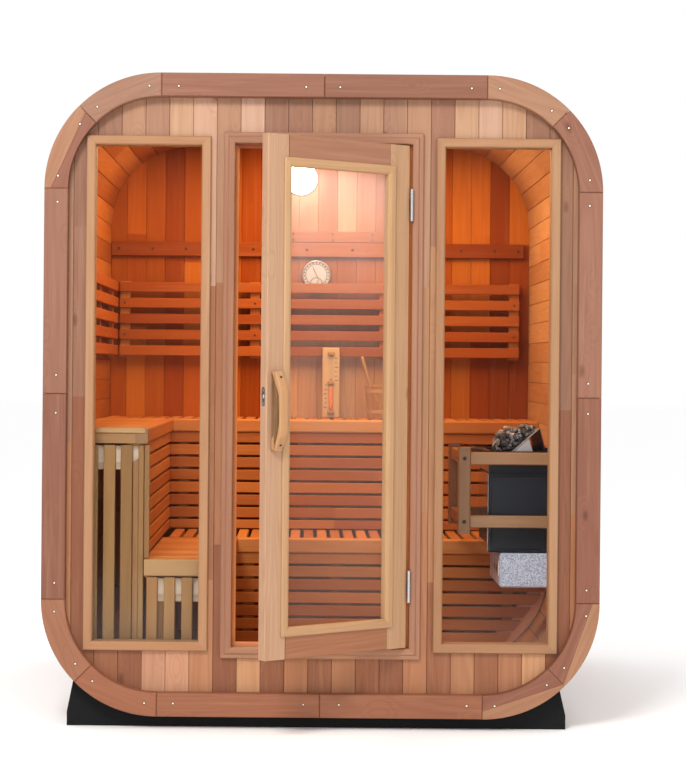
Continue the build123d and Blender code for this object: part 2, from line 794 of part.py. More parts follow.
# ---------------------------------------------------------------- heater and guard
heat_x0, heat_x1 = 578.0, 840.0
heat_y0, heat_y1 = 460.0, 850.0
heat_low, heat_high = 536.0, 886.0
tray = 70.0
with BuildPart() as heater_body:
    slab(heat_x0, heat_x1, heat_y0, heat_y1, heat_low, heat_high)
    slab(heat_x0 + 12, heat_x1 - 12, heat_y0 + 12, heat_y1 - 12, heat_high - tray, heat_high + 1, mode=Mode.SUBTRACT)
    with BuildSketch(facing(heat_y0)):  # flared lip of the stone tray
        outline([(heat_x0, heat_high - 6), (heat_x0, heat_high), (heat_x0 - 43, heat_high + 12), (heat_x0 - 43, heat_high + 7)])
    extrude(amount=-(heat_y1 - heat_y0))
    with BuildSketch(facing(heat_y0 + 2)):  # bent sheet that holds the heap up
        outline([(655, 881), (663, 881), (752.5, 960), (774, 881), (778, 881), (755, 966), (751, 966)])
    extrude(amount=-(heat_y1 - heat_y0 - 4))
    with BuildSketch(facing(heat_y0 + 8)):  # gusset under the sheet
        outline([(661, 881), (734, 881), (718, 931)])
    extrude(amount=-8)
    slab(heat_x1, inner_half, heat_y0 + 60, heat_y0 + 100, heat_low + 30, heat_high - 60)
    slab(heat_x1, inner_half, heat_y1 - 100, heat_y1 - 60, heat_low + 30, heat_high - 60)
save(heater_body.part, "heater_body")

with BuildPart() as heater_stones:
    with BuildSketch(Plane.XY.offset(heat_high - tray)):
        with Locations(((heat_x0 + heat_x1) / 2, (heat_y0 + heat_y1) / 2 + y_shift)):
            RectangleRounded(heat_x1 - heat_x0 - 26, heat_y1 - heat_y0 - 26, 30)
    extrude(amount=tray - 6)
    with BuildSketch(facing(heat_y0 + 20)):  # the heap, banked against the slanting sheet
        outline([(592, 870), (592, 906), (608, 942), (637, 963), (674, 963), (712, 979), (747, 979), (749, 967), (652, 882), (640, 870)])
    extrude(amount=-(heat_y1 - heat_y0 - 40))
save(heater_stones.part, "heater_stones")

with BuildPart() as heater_control_box:
    slab(619, heat_x1, 464, 848, 416, heat_low - 1)
save(heater_control_box.part, "heater_control_box")

post, guard_rail = 42.0, 24.0
guard_x, guard_y0, guard_y1 = 470.0, 388.0, 892.0
rail_levels = ((627.0, 668.0), (842.0, 884.0))
with BuildPart() as heater_guard:
    for y in (guard_y0, guard_y1 - post):
        slab(guard_x, guard_x + post, y, y + post, 606, 900)
    for z0, z1 in rail_levels:
        for y in (guard_y0 + 8, guard_y1 - 8 - guard_rail):
            slab(guard_x + post + 0.3, inner_half, y, y + guard_rail, z0, z1)
        slab(guard_x + 8, guard_x + 8 + guard_rail, guard_y0 + post + 0.3, guard_y1 - post - 0.3, z0, z1)
save(heater_guard.part, "heater_guard")
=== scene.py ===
import math
import random

import bmesh
import bpy
from mathutils import Matrix, Vector


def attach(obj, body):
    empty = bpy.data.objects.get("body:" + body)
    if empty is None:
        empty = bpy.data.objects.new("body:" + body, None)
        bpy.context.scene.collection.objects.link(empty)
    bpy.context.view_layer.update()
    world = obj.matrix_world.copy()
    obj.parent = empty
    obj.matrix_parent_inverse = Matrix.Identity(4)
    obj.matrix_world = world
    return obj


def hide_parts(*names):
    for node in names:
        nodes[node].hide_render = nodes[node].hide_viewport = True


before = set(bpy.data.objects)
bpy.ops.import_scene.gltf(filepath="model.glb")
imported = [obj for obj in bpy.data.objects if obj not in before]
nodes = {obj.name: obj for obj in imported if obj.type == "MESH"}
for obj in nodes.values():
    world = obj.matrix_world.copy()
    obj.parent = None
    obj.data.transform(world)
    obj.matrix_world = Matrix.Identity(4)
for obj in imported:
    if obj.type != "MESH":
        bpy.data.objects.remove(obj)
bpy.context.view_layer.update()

# Lengths below are in millimetres: X to the right, y back from the front ring's face, z up.
Y_SHIFT = -760.0


def P(x, y, z):
    return (x / 1000.0, (y + Y_SHIFT) / 1000.0, z / 1000.0)


HINGE_X, HINGE_Y, AJAR = 284.5, 14.5, math.radians(37)
ca, sa = math.cos(AJAR), math.sin(AJAR)


def D(x, y, z):
    """A point of the shut door leaf, carried to where the leaf stands ajar."""
    dx, dy = x - HINGE_X, y - HINGE_Y
    return P(HINGE_X + dx * ca - dy * sa, HINGE_Y + dx * sa + dy * ca, z)


# ---------------------------------------------------------------- colours


ALBEDO = 0.58


def lin(c):
    """A wood's colour as its share of light sent back."""
    out = []
    for v in c:
        v = v / 255.0
        out.append(ALBEDO * (v / 12.92 if v <= 0.04045 else ((v + 0.055) / 1.055) ** 2.4))
    return tuple(out)


def shade(c, f):
    return tuple(v * f for v in c)


CEDAR = [(214, 166, 132), (203, 152, 118), (190, 137, 105), (176, 122, 94), (222, 178, 146), (196, 143, 108), (168, 114, 88), (210, 158, 120)]
# Back wall lining tones: strongly saturated orange, partly the wood's own colour and partly painted warm lamplight.
INNER = [(226, 126, 40), (212, 114, 32), (194, 96, 24), (240, 144, 50), (180, 86, 20), (206, 108, 30)]
STAVE = [(190, 138, 108), (178, 124, 97), (166, 112, 87), (198, 148, 118), (184, 130, 100)]
FRAMEWOOD = [(205, 152, 108), (199, 145, 101), (210, 160, 116)]
BENCH = [(236, 154, 82), (228, 144, 74), (242, 162, 90), (220, 136, 70)]
LINING = [(218, 134, 64), (208, 122, 56), (196, 112, 50), (226, 144, 74), (212, 128, 60)]
# Rail tones darker and redder than the wall boards: painted shade.
RAIL = [(166, 80, 26), (158, 73, 22), (174, 88, 31)]
REST = [(204, 110, 44), (196, 100, 38), (212, 118, 50)]
REST_MID = [(198, 128, 88), (190, 118, 80), (204, 136, 94)]
SKIRT = [(222, 134, 58), (212, 122, 50), (228, 142, 66), (206, 116, 48)]
# The lining made paler for the right wall's staves and its corners: painted light, the lamp's whiter light on that
# side.
PAINTED_LIT_LINING = [(240, 186, 138), (232, 176, 128), (224, 164, 116), (236, 182, 134)]
GUARD = [(188, 140, 98), (180, 132, 92), (194, 148, 106)]
# The guard's wood made darker and redder for the far post and side rails: painted shade.
SHADED_GUARD = [(158, 96, 54), (150, 90, 50), (166, 104, 60)]
PANEL = [(180, 134, 84), (172, 124, 76), (190, 146, 94), (160, 114, 68)]


def pick(rng, palette, spread=0.05):
    a = lin(rng.choice(palette))
    k = 1 + rng.uniform(-spread, spread)
    w = rng.uniform(-spread, spread) * 0.4
    return (a[0] * k * (1 + w), a[1] * k, a[2] * k * (1 - w))


# ---------------------------------------------------------------- meshes


class Mesh:
    """Gathers solids that become one piece, each with its own tint and grain direction."""

    def __init__(self, seed):
        self.rng = random.Random(seed)
        self.v, self.f, self.mi, self.sm, self.tint, self.grain = [], [], [], [], [], []

    def add(self, verts, faces, tint=(0.5, 0.5, 0.5), grain=None, mat=0, smooth=False):
        n = len(self.v)
        self.v += verts
        self.f += [[i + n for i in f] for f in faces]
        self.mi += [mat] * len(faces)
        self.sm += [smooth] * len(faces)
        self.tint += tint if isinstance(tint, list) else [tint] * len(verts)
        self.grain += grain if grain else list(verts)

    def make(self, name, mats, body, slot, replaces=()):
        me = bpy.data.meshes.new(name)
        me.from_pydata(self.v, [], self.f)
        for m in mats:
            me.materials.append(m)
        me.polygons.foreach_set("material_index", self.mi)
        me.polygons.foreach_set("use_smooth", self.sm)
        t = me.attributes.new("tint", "FLOAT_COLOR", "POINT")
        t.data.foreach_set("color", [c for k in self.tint for c in (*k, 1.0)])
        g = me.attributes.new("grain", "FLOAT_VECTOR", "POINT")
        g.data.foreach_set("vector", [c for k in self.grain for c in k])
        bm = bmesh.new()
        bm.from_mesh(me)
        bmesh.ops.recalc_face_normals(bm, faces=bm.faces)
        bm.to_mesh(me)
        bm.free()
        me.validate()
        ob = bpy.data.objects.new(name, me)
        bpy.context.scene.collection.objects.link(ob)
        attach(ob, body)
        if replaces:
            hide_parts(*replaces)
        return ob

    def offset(self):
        r = self.rng
        return (r.uniform(0, 40), r.uniform(0, 40), r.uniform(0, 40))


def rect(u0, u1, v0, v1, c=1.5):
    return [(u0 + c, v0), (u1 - c, v0), (u1, v0 + c), (u1, v1 - c), (u1 - c, v1), (u0 + c, v1), (u0, v1 - c), (u0, v0 + c)]


def along_x(s, u, v):
    return P(s, u, v)


def along_y(s, u, v):
    return P(u, s, v)


def along_z(s, u, v):
    return P(u, v, s)


def stick(m, prof, a, b, place, tint, mat=0, smooth=False, off=None, skin=None):
    """A bar with that outline from a to b along its grain. a and b can lean: functions of the outline's point.
    skin gives a test of the outline's point and the weathered tint used where it holds."""
    n = len(prof)
    off = off or m.offset()
    vs, gs = [], []
    for e in (a, b):
        for u, v in prof:
            s = e(u, v) if callable(e) else e
            vs.append(place(s, u, v))
            gs.append((s / 1000 + off[0], u / 1000 + off[1], v / 1000 + off[2]))
    fs = [[i, (i + 1) % n, (i + 1) % n + n, i + n] for i in range(n)]
    fs += [list(range(n - 1, -1, -1)), list(range(n, 2 * n))]
    if skin:
        tint = [skin[1] if skin[0](u, v) else tint for u, v in prof] * 2
    m.add(vs, fs, tint, gs, mat, smooth)


def joints(rng, a, b, low=260, high=820):
    cuts = [a]
    s = a + rng.uniform(0.3, 1.0) * high
    while s < b - low:
        cuts.append(s)
        s += rng.uniform(low, high)
    return cuts + [b]


def jointed(m, prof, a, b, place, palette, low=260, high=820, spread=0.05, mat=0, outer=None):
    """A board glued up from shorter lengths, each with its own tone."""
    cuts = joints(m.rng, a, b, low, high)
    for s0, s1 in zip(cuts, cuts[1:]):
        stick(m, prof, s0, s1, place, pick(m.rng, palette, spread), mat, skin=(outer, pick(m.rng, STAVE, 0.06)) if outer else None)


def thirds(m, prof, a, b, ends, middle):
    """A long board glued up from three lengths, the middle one of paler wood."""
    p, q = -180 + m.rng.uniform(-30, 30), 425 + m.rng.uniform(-35, 35)
    for s0, s1, palette in ((a, p, ends), (p, q, middle), (q, b, ends)):
        stick(m, prof, s0, s1, along_x, pick(m.rng, palette, 0.05))


def mitred(m, x0, x1, z0, z1, prof, place, tints, mat=0):
    """Four members with mitred ends. The outline gives (distance in from the outer edge, y)."""
    stick(m, prof, lambda u, v: x0 + u, lambda u, v: x1 - u, lambda s, u, v: place(s, v, z1 - u), tints[0], mat)
    stick(m, prof, lambda u, v: x0 + u, lambda u, v: x1 - u, lambda s, u, v: place(s, v, z0 + u), tints[1], mat)
    stick(m, prof, lambda u, v: z0 + u, lambda u, v: z1 - u, lambda s, u, v: place(x0 + u, v, s), tints[2], mat)
    stick(m, prof, lambda u, v: z0 + u, lambda u, v: z1 - u, lambda s, u, v: place(x1 - u, v, s), tints[3], mat)


def plate(m, outline, inset, place, depth, c, tint, direction, mat=0, both=False):
    """A flat piece cut to an outline, its edges eased by c. place takes (a, b, depth below the face)."""
    n = len(outline)
    off = m.offset()
    ta, tb = direction
    rows = [(inset, 0.0), (outline, c), (outline, depth - (c if both else 0))] + ([(inset, depth)] if both else [])
    vs, gs = [], []
    for pts, d in rows:
        for a, b in pts:
            vs.append(place(a, b, d))
            gs.append(((a * ta + b * tb) / 1000 + off[0], (-a * tb + b * ta) / 1000 + off[1], d / 1000 + off[2]))
    fs = []
    for r in range(len(rows) - 1):
        for i in range(n):
            j = (i + 1) % n
            fs.append([r * n + i, r * n + j, (r + 1) * n + j, (r + 1) * n + i])
    fs += [list(range(n - 1, -1, -1)), [(len(rows) - 1) * n + i for i in range(n)]]
    m.add(vs, fs, tint, gs, mat)


def lathe(m, prof, place, n=32, tint=(0.5, 0.5, 0.5), mat=0, smooth=True, closed=True):
    """A turned piece from (radius, height) points; place takes (a, b, height)."""
    vs, fs = [], []
    k = len(prof)
    for i in range(n):
        t = 2 * math.pi * i / n
        for r, h in prof:
            vs.append(place(r * math.cos(t), r * math.sin(t), h))
    for i in range(n):
        j = (i + 1) % n
        for q in range(k - 1):
            fs.append([i * k + q, j * k + q, j * k + q + 1, i * k + q + 1])
    if closed:
        if prof[0][0] > 1e-6:
            fs.append([i * k for i in range(n)])
        if prof[-1][0] > 1e-6:
            fs.append([i * k + k - 1 for i in range(n)][::-1])
    m.add(vs, fs, tint, None, mat, smooth)


def screw(m, x, z, face, place, r=3.2, mat=1, tint=(0.05, 0.045, 0.04), proud=0.5):
    """A screw head: a shallow dome with a dished middle."""
    lathe(m, [(r, -2.0), (r, proud * 0.5), (r * 0.8, proud), (r * 0.45, proud), (r * 0.35, proud * 0.2), (0.01, proud * 0.2)],
          lambda a, b, h: place(x + a, face - h, z + b), 10, tint, mat, False)


def block(m, x0, x1, y0, y1, z0, z1, c, tint, mat=0, place=P, axis="x"):
    """A chamfered block, all twelve edges eased."""
    lo, hi = (x0, y0, z0), (x1, y1, z1)
    vs, index = [], {}
    for k in range(3):
        for sx in (0, 1):
            for sy in (0, 1):
                for sz in (0, 1):
                    s = (sx, sy, sz)
                    p = []
                    for q in range(3):
                        base = hi[q] if s[q] else lo[q]
                        p.append(base if q == k else base + (-c if s[q] else c))
                    index[(k, s)] = len(vs)
                    vs.append(p)
    fs = []
    for k in range(3):
        a, b = [q for q in range(3) if q != k]
        for side in (0, 1):
            loop = []
            for va, vb in ((0, 0), (1, 0), (1, 1), (0, 1)):
                s = [0, 0, 0]
                s[k], s[a], s[b] = side, va, vb
                loop.append(index[(k, tuple(s))])
            fs.append(loop)
    for e in range(3):
        a, b = [q for q in range(3) if q != e]
        for va in (0, 1):
            for vb in (0, 1):
                s0, s1 = [0, 0, 0], [0, 0, 0]
                s0[a] = s1[a] = va
                s0[b] = s1[b] = vb
                s1[e] = 1
                s0, s1 = tuple(s0), tuple(s1)
                fs.append([index[(a, s0)], index[(a, s1)], index[(b, s1)], index[(b, s0)]])
    for sx in (0, 1):
        for sy in (0, 1):
            for sz in (0, 1):
                s = (sx, sy, sz)
                fs.append([index[(0, s)], index[(1, s)], index[(2, s)]])
    off = m.offset()
    order = {"x": (0, 1, 2), "y": (1, 0, 2), "z": (2, 0, 1)}[axis]
    gs = [tuple(p[order[q]] / 1000 + off[q] for q in range(3)) for p in vs]
    m.add([place(*p) for p in vs], fs, tint, gs, mat)


# ---------------------------------------------------------------- materials


class Nodes:
    def __init__(self, name):
        self.mat = bpy.data.materials.new(name)
        self.mat.use_nodes = True
        self.t = self.mat.node_tree
        self.t.nodes.clear()
        self.out = self.new("ShaderNodeOutputMaterial")

    def new(self, kind, **props):
        n = self.t.nodes.new(kind)
        for k, v in props.items():
            setattr(n, k, v)
        return n

    def link(self, a, b):
        self.t.links.new(a, b)

    def principled(self, **values):
        b = self.new("ShaderNodeBsdfPrincipled")
        for k, v in values.items():
            b.inputs[k.replace("_", " ")].default_value = v
        self.link(b.outputs["BSDF"], self.out.inputs["Surface"])
        return b

    def attr(self, name):
        return self.new("ShaderNodeAttribute", attribute_name=name)

    def noise(self, vector, scale, detail=4.0, rough=0.55, distort=0.0, stretch=(1, 1, 1)):
        mp = self.new("ShaderNodeMapping")
        mp.inputs["Scale"].default_value = stretch
        self.link(vector, mp.inputs["Vector"])
        n = self.new("ShaderNodeTexNoise")
        n.inputs["Scale"].default_value = scale
        n.inputs["Detail"].default_value = detail
        n.inputs["Roughness"].default_value = rough
        n.inputs["Distortion"].default_value = distort
        self.link(mp.outputs["Vector"], n.inputs["Vector"])
        return n.outputs["Fac"]

    def spots(self, vector, stretch, share):
        """Distance from a few scattered points, and 1 in the cells that have one."""
        mp = self.new("ShaderNodeMapping")
        mp.inputs["Scale"].default_value = stretch
        self.link(vector, mp.inputs["Vector"])
        n = self.new("ShaderNodeTexVoronoi")
        n.inputs["Scale"].default_value = 1.0
        self.link(mp.outputs["Vector"], n.inputs["Vector"])
        parts = self.new("ShaderNodeSeparateColor")
        self.link(n.outputs["Color"], parts.inputs[0])
        return n.outputs["Distance"], self.math("LESS_THAN", parts.outputs[0], share)

    def span(self, value, a, b, c, d):
        n = self.new("ShaderNodeMapRange")
        for i, v in enumerate((a, b, c, d)):
            n.inputs[i + 1].default_value = v
        self.link(value, n.inputs[0])
        return n.outputs[0]

    def math(self, op, a, b=None):
        n = self.new("ShaderNodeMath", operation=op)
        for i, v in enumerate((a, b)):
            if v is None:
                continue
            if isinstance(v, (int, float)):
                n.inputs[i].default_value = v
            else:
                self.link(v, n.inputs[i])
        return n.outputs[0]

    def mix(self, blend, fac, a, b):
        n = self.new("ShaderNodeMix", data_type="RGBA", blend_type=blend)
        for sock, v in ((n.inputs[0], fac), (n.inputs[6], a), (n.inputs[7], b)):
            if isinstance(v, (int, float)):
                sock.default_value = v
            elif isinstance(v, tuple):
                sock.default_value = (*v[:3], 1.0)
            else:
                self.link(v, sock)
        return n.outputs[2]

    def bump(self, height, strength, distance, bsdf):
        n = self.new("ShaderNodeBump")
        n.inputs["Strength"].default_value = strength
        n.inputs["Distance"].default_value = distance
        self.link(height, n.inputs["Height"])
        self.link(n.outputs["Normal"], bsdf.inputs["Normal"])


def wood(name, gloss=0.5, figure=1.0, spec=0.35, knots=0.0):
    """Sawn and planed timber. Colour comes from each board's tint, figure from its own grain."""
    w = Nodes(name)
    g, t = w.attr("grain").outputs["Vector"], w.attr("tint").outputs["Color"]
    fibre = w.noise(g, 1.0, 5, 0.6, 0.0, (7, 300, 300))
    coarse = w.noise(g, 1.0, 3, 0.5, 0.3, (2.2, 70, 70))
    field = w.noise(g, 1.0, 2, 0.45, 0.6, (0.55, 9, 9))
    if knots:
        far, here = w.spots(g, (7, 15, 15), knots)
        field = w.math("ADD", field, w.math("MULTIPLY", here, w.span(far, 0.0, 0.5, 0.3, 0.0)))
    rings = w.math("SINE", w.math("MULTIPLY", field, 75.0))
    patch = w.noise(g, 1.0, 2, 0.5, 0.0, (1.3, 5, 5))
    late = w.span(rings, -0.2, 1.0, 0.0, 1.0)
    c = w.mix("MULTIPLY", w.math("MULTIPLY", late, 0.22 * figure), t, (0.66, 0.52, 0.43))
    c = w.mix("MULTIPLY", w.span(fibre, 0.45, 0.75, 0.0, 0.26), c, (0.62, 0.50, 0.42))
    c = w.mix("SCREEN", w.span(coarse, 0.52, 0.8, 0.0, 0.16), c, (0.32, 0.22, 0.14))
    c = w.mix("MULTIPLY", w.span(patch, 0.4, 0.75, 0.0, 0.38), c, (0.80, 0.68, 0.60))
    if knots:
        c = w.mix("MULTIPLY", w.math("MULTIPLY", here, w.span(far, 0.06, 0.2, 0.75, 0.0)), c, (0.46, 0.33, 0.26))
    b = w.principled(Specular_IOR_Level=spec)
    w.link(c, b.inputs["Base Color"])
    w.link(w.span(fibre, 0.3, 0.7, gloss - 0.05, gloss + 0.15), b.inputs["Roughness"])
    h = w.math("ADD", w.math("MULTIPLY", fibre, 0.7), w.math("MULTIPLY", rings, 0.12))
    w.bump(h, 0.22, 0.0006, b)
    return w.mat


def painted(name, colour, rough=0.5, speck=None, metallic=0.0, grain=120.0, spec=0.4):
    w = Nodes(name)
    co = w.new("ShaderNodeTexCoord").outputs["Object"]
    n = w.noise(co, grain, 4, 0.6)
    big = w.noise(co, 6.0, 3, 0.5)
    c = w.mix("MULTIPLY", w.span(big, 0.35, 0.7, 0.0, 0.5), colour, (0.72, 0.72, 0.74))
    c = w.mix("SCREEN", w.span(n, 0.5, 0.75, 0.0, 0.25), c, tuple(min(0.1, 0.35 * v) for v in colour))
    if speck:
        v = w.noise(co, 400.0, 0, 0.5)
        c = w.mix("MIX", w.span(v, 0.42, 0.62, 0.0, 1.0), c, speck)
    b = w.principled(Metallic=metallic, Specular_IOR_Level=spec)
    w.link(c, b.inputs["Base Color"])
    w.link(w.span(n, 0.3, 0.7, max(0.05, rough - 0.1), rough + 0.12), b.inputs["Roughness"])
    w.bump(n, 0.12, 0.0002, b)
    return w.mat


def metal(name, colour, rough=0.28, stretch=(4, 400, 400)):
    w = Nodes(name)
    co = w.new("ShaderNodeTexCoord").outputs["Object"]
    brush = w.noise(co, 1.0, 4, 0.6, 0.0, stretch)
    blot = w.noise(co, 14.0, 3, 0.5)
    c = w.mix("MULTIPLY", w.span(blot, 0.35, 0.7, 0.0, 0.4), colour, (0.75, 0.75, 0.76))
    b = w.principled(Metallic=1.0)
    w.link(c, b.inputs["Base Color"])
    w.link(w.span(brush, 0.3, 0.7, rough - 0.08, rough + 0.14), b.inputs["Roughness"])
    w.bump(brush, 0.12, 0.0003, b)
    return w.mat


def glass(name, low, high, reflection_haze=(0.85, 0.86, 0.85), z0=0.3, z1=1.85, spec=0.9, rough=0.03):
    """Clear sheet glass with a faint pale layer mixed in, from low near the ground to high at the top: painted
    reflection, standing in for the sheen on the panes.
    """
    w = Nodes(name)
    co = w.new("ShaderNodeTexCoord").outputs["Object"]
    xyz = w.new("ShaderNodeSeparateXYZ")
    w.link(co, xyz.inputs[0])
    smear_and_haze = w.noise(co, 3.0, 4, 0.6, 0.8)
    clear = w.new("ShaderNodeBsdfTransparent")
    clear.inputs["Color"].default_value = (0.97, 0.98, 0.975, 1)
    b = w.new("ShaderNodeBsdfPrincipled")
    b.inputs["Base Color"].default_value = (*reflection_haze, 1)
    b.inputs["Specular IOR Level"].default_value = spec
    w.link(w.span(smear_and_haze, 0.3, 0.7, rough, rough + 0.06), b.inputs["Roughness"])
    w.bump(smear_and_haze, 0.03, 0.001, b)
    m = w.new("ShaderNodeMixShader")
    reflection_haze_at = w.span(xyz.outputs["Z"], z0, z1, low, high)
    w.link(w.math("MULTIPLY", reflection_haze_at, w.span(smear_and_haze, 0.3, 0.7, 0.75, 1.25)), m.inputs[0])
    w.link(clear.outputs[0], m.inputs[1])
    w.link(b.outputs[0], m.inputs[2])
    w.link(m.outputs[0], w.out.inputs["Surface"])
    return w.mat


def glow(name, colour, strength):
    w = Nodes(name)
    co = w.new("ShaderNodeTexCoord").outputs["Object"]
    n = w.noise(co, 40.0, 3, 0.5)
    c = w.mix("MULTIPLY", w.span(n, 0.3, 0.7, 0.0, 0.3), colour, (0.9, 0.86, 0.8))
    b = w.principled(Roughness=0.4, Emission_Strength=strength)
    w.link(c, b.inputs["Base Color"])
    w.link(c, b.inputs["Emission Color"])
    return w.mat


def rock(name):
    w = Nodes(name)
    co = w.new("ShaderNodeTexCoord").outputs["Object"]
    t = w.attr("tint").outputs["Color"]
    n = w.noise(co, 60.0, 6, 0.65)
    s = w.noise(co, 300.0, 3, 0.6)
    c = w.mix("MULTIPLY", w.span(n, 0.35, 0.7, 0.0, 0.8), t, (0.5, 0.5, 0.5))
    c = w.mix("SCREEN", w.span(s, 0.55, 0.8, 0.0, 0.35), c, (0.4, 0.4, 0.4))
    b = w.principled(Specular_IOR_Level=0.8)
    w.link(c, b.inputs["Base Color"])
    w.link(w.span(n, 0.3, 0.7, 0.16, 0.5), b.inputs["Roughness"])
    w.bump(w.math("ADD", n, w.math("MULTIPLY", s, 0.4)), 0.5, 0.002, b)
    return w.mat


M_WOOD = wood("cedar", 0.52, 1.0, knots=0.3)
M_LINING = wood("lining_cedar", 0.6, 0.9, 0.12)
M_FINE = wood("planed_wood", 0.46, 0.55)
M_SEAT = wood("seat_wood", 0.5, 0.55, 0.15)
M_PALE = wood("fitting_wood", 0.42, 0.4)
M_BLACK = painted("black_stain", (0.006, 0.006, 0.0065), 0.7, spec=0.15)
M_STEEL = metal("brushed_steel", (0.42, 0.42, 0.43), 0.3)
M_MIRROR = metal("polished_steel", (0.56, 0.57, 0.60), 0.12, (9, 9, 4))
M_DARK = painted("dark_screw", (0.03, 0.027, 0.025), 0.4, metallic=0.6)
M_PLUG = painted("screw_plug", (0.86, 0.76, 0.62), 0.4)
M_ENAMEL = painted("slate_enamel", (0.015, 0.018, 0.026), 0.4, grain=60.0, spec=0.16)
M_SPECK = painted("speckled_paint", (0.66, 0.73, 0.90), 0.45, (0.26, 0.30, 0.39))
# The window panes' pale layer, thicker near their foot: painted reflection.
M_GLASS = glass("window_glass", 0.014, 0.002, z0=0.28, z1=0.55)
# The door pane's pale pink layer, thickening towards the top: painted reflection.
M_LEAF_GLASS = glass("door_glass", 0.018, 0.12, (0.95, 0.92, 0.92), 1.36, 1.75, 0.1, 0.5)
M_TUBE = glass("tube_glass", 0.06, 0.06)
M_LAMP = glow("lamp_glow", (1.0, 0.86, 0.62), 14.0)
M_ROCK = rock("heater_rock")
M_DIAL = painted("dial_face", (0.52, 0.56, 0.76), 0.4)
M_TRAY = metal("tray_steel", (0.55, 0.56, 0.58), 0.34)
M_INK = painted("dial_ink", (0.02, 0.02, 0.02), 0.5)
M_GREY_INK = painted("grey_ink", (0.05, 0.045, 0.04), 0.5)
M_SAND = painted("orange_sand", (0.80, 0.26, 0.10), 0.8, grain=900.0)
# A pale glowing strip on the control box's side: painted highlight, the gleam along a knob's edge, not a lamp.
M_PAINTED_HIGHLIGHT = glow("painted_highlight_strip", (1.0, 0.98, 0.95), 0.7)

# ---------------------------------------------------------------- barrel

CORNERS = {"upper_right": (525, 1740, 0), "upper_left": (-525, 1740, 90), "lower_left": (-525, 415, 180), "lower_right": (525, 415, 270)}
Y0, Y1 = 40, 1810


def grooved(u0, u1, v0, v1, c=0.9):
    """A stave's outline, its width along u, with a narrow open joint at each face."""
    d = 4.0
    return [(u0 + 1.6 * c, v0), (u1 - 1.6 * c, v0), (u1 - c, v0 + c), (u1 - 0.6 * c, v0 + d), (u1, v0 + d), (u1, v1 - d), (u1 - 0.6 * c, v1 - d), (u1 - c, v1 - c),
            (u1 - 1.6 * c, v1), (u0 + 1.6 * c, v1), (u0 + c, v1 - c), (u0 + 0.6 * c, v1 - d), (u0, v1 - d), (u0, v0 + d), (u0 + 0.6 * c, v0 + d), (u0 + c, v0 + c)]


def turned(pts):
    return [(v, u) for u, v in pts]


def stave_row(name, node, a, b, count, make_prof, place_seed, outer):
    m = Mesh(place_seed)
    step = (b - a) / count
    for i in range(count):
        prof = make_prof(a + i * step, a + (i + 1) * step)
        # Staves on the right take the paler copy of the lining: painted light.
        jointed(m, prof, Y0, Y1, along_y, PAINTED_LIT_LINING if "right" in name else LINING, 380, 1100, outer=outer)
    m.make(name, [M_LINING], "cabin", "cedar_staves", [node])


stave_row("floor_boards", "floor_staves", -525, 525, 13, lambda a, b: grooved(a, b, 43, 88), 11, lambda u, v: v < 65)
stave_row("roof_boards", "roof_staves", -525, 525, 13, lambda a, b: grooved(a, b, 2067, 2112), 12, lambda u, v: v > 2090)
stave_row("left_wall_boards", "left_wall_staves", 415, 1740, 17, lambda a, b: turned(grooved(a, b, -897, -852)), 13, lambda u, v: u < -875)
stave_row("right_wall_boards", "right_wall_staves", 415, 1740, 17, lambda a, b: turned(grooved(a, b, 852, 897)), 14, lambda u, v: u > 875)
for k, (corner, (cx, cz, start)) in enumerate(CORNERS.items()):
    m = Mesh(20 + k)
    for i in range(7):
        t0, t1 = math.radians(start + 90 * i / 7), math.radians(start + 90 * (i + 1) / 7)
        ri, ro = 327.0, 372.0
        pts = []
        for r, c in ((ri, 1.6), (ro, 1.6)):
            p0 = Vector((cx + r * math.cos(t0), cz + r * math.sin(t0)))
            p1 = Vector((cx + r * math.cos(t1), cz + r * math.sin(t1)))
            e = (p1 - p0).normalized()
            s0, s1 = Vector((math.cos(t0), math.sin(t0))), Vector((math.cos(t1), math.sin(t1)))
            sign = 1 if r == ri else -1
            ring = [p0 + s0 * 4.0 * sign, p0 + s0 * 4.0 * sign + e * 0.6, p0 + e * c, p1 - e * c, p1 + s1 * 4.0 * sign - e * 0.6, p1 + s1 * 4.0 * sign]
            pts.append(ring)
        prof = [tuple(p) for p in pts[0]] + [tuple(p) for p in reversed(pts[1])]
        # Staves on the right take the paler copy of the lining: painted light.
        jointed(m, prof, Y0, Y1, along_y, PAINTED_LIT_LINING if "right" in corner else LINING, 380, 1100, outer=lambda u, v: math.hypot(u - cx, v - cz) > 350)
    m.make(f"{corner}_corner_boards", [M_LINING], "cabin", "cedar_staves", [f"{corner}_corner_staves"])

# ---------------------------------------------------------------- trim rings

RING_TINT = [(162, 106, 82), (154, 98, 75), (168, 114, 90), (150, 94, 71), (160, 103, 78), (172, 121, 97)]
RING_LOW = [(178, 113, 80), (170, 105, 73), (182, 119, 86)]


def sector_outline(cx, cz, r0, r1, a0, a1, c=0.0, n=14):
    e0, e1 = a0 + math.asin(c / r0), a1 - math.asin(c / r0)
    f0, f1 = a0 + math.asin(c / r1), a1 - math.asin(c / r1)
    inner = [(cx + (r0 + c) * math.cos(e0 + (e1 - e0) * i / n), cz + (r0 + c) * math.sin(e0 + (e1 - e0) * i / n)) for i in range(n + 1)]
    outer = [(cx + (r1 - c) * math.cos(f0 + (f1 - f0) * i / n), cz + (r1 - c) * math.sin(f0 + (f1 - f0) * i / n)) for i in range(n + 1)]
    return inner + outer[::-1]


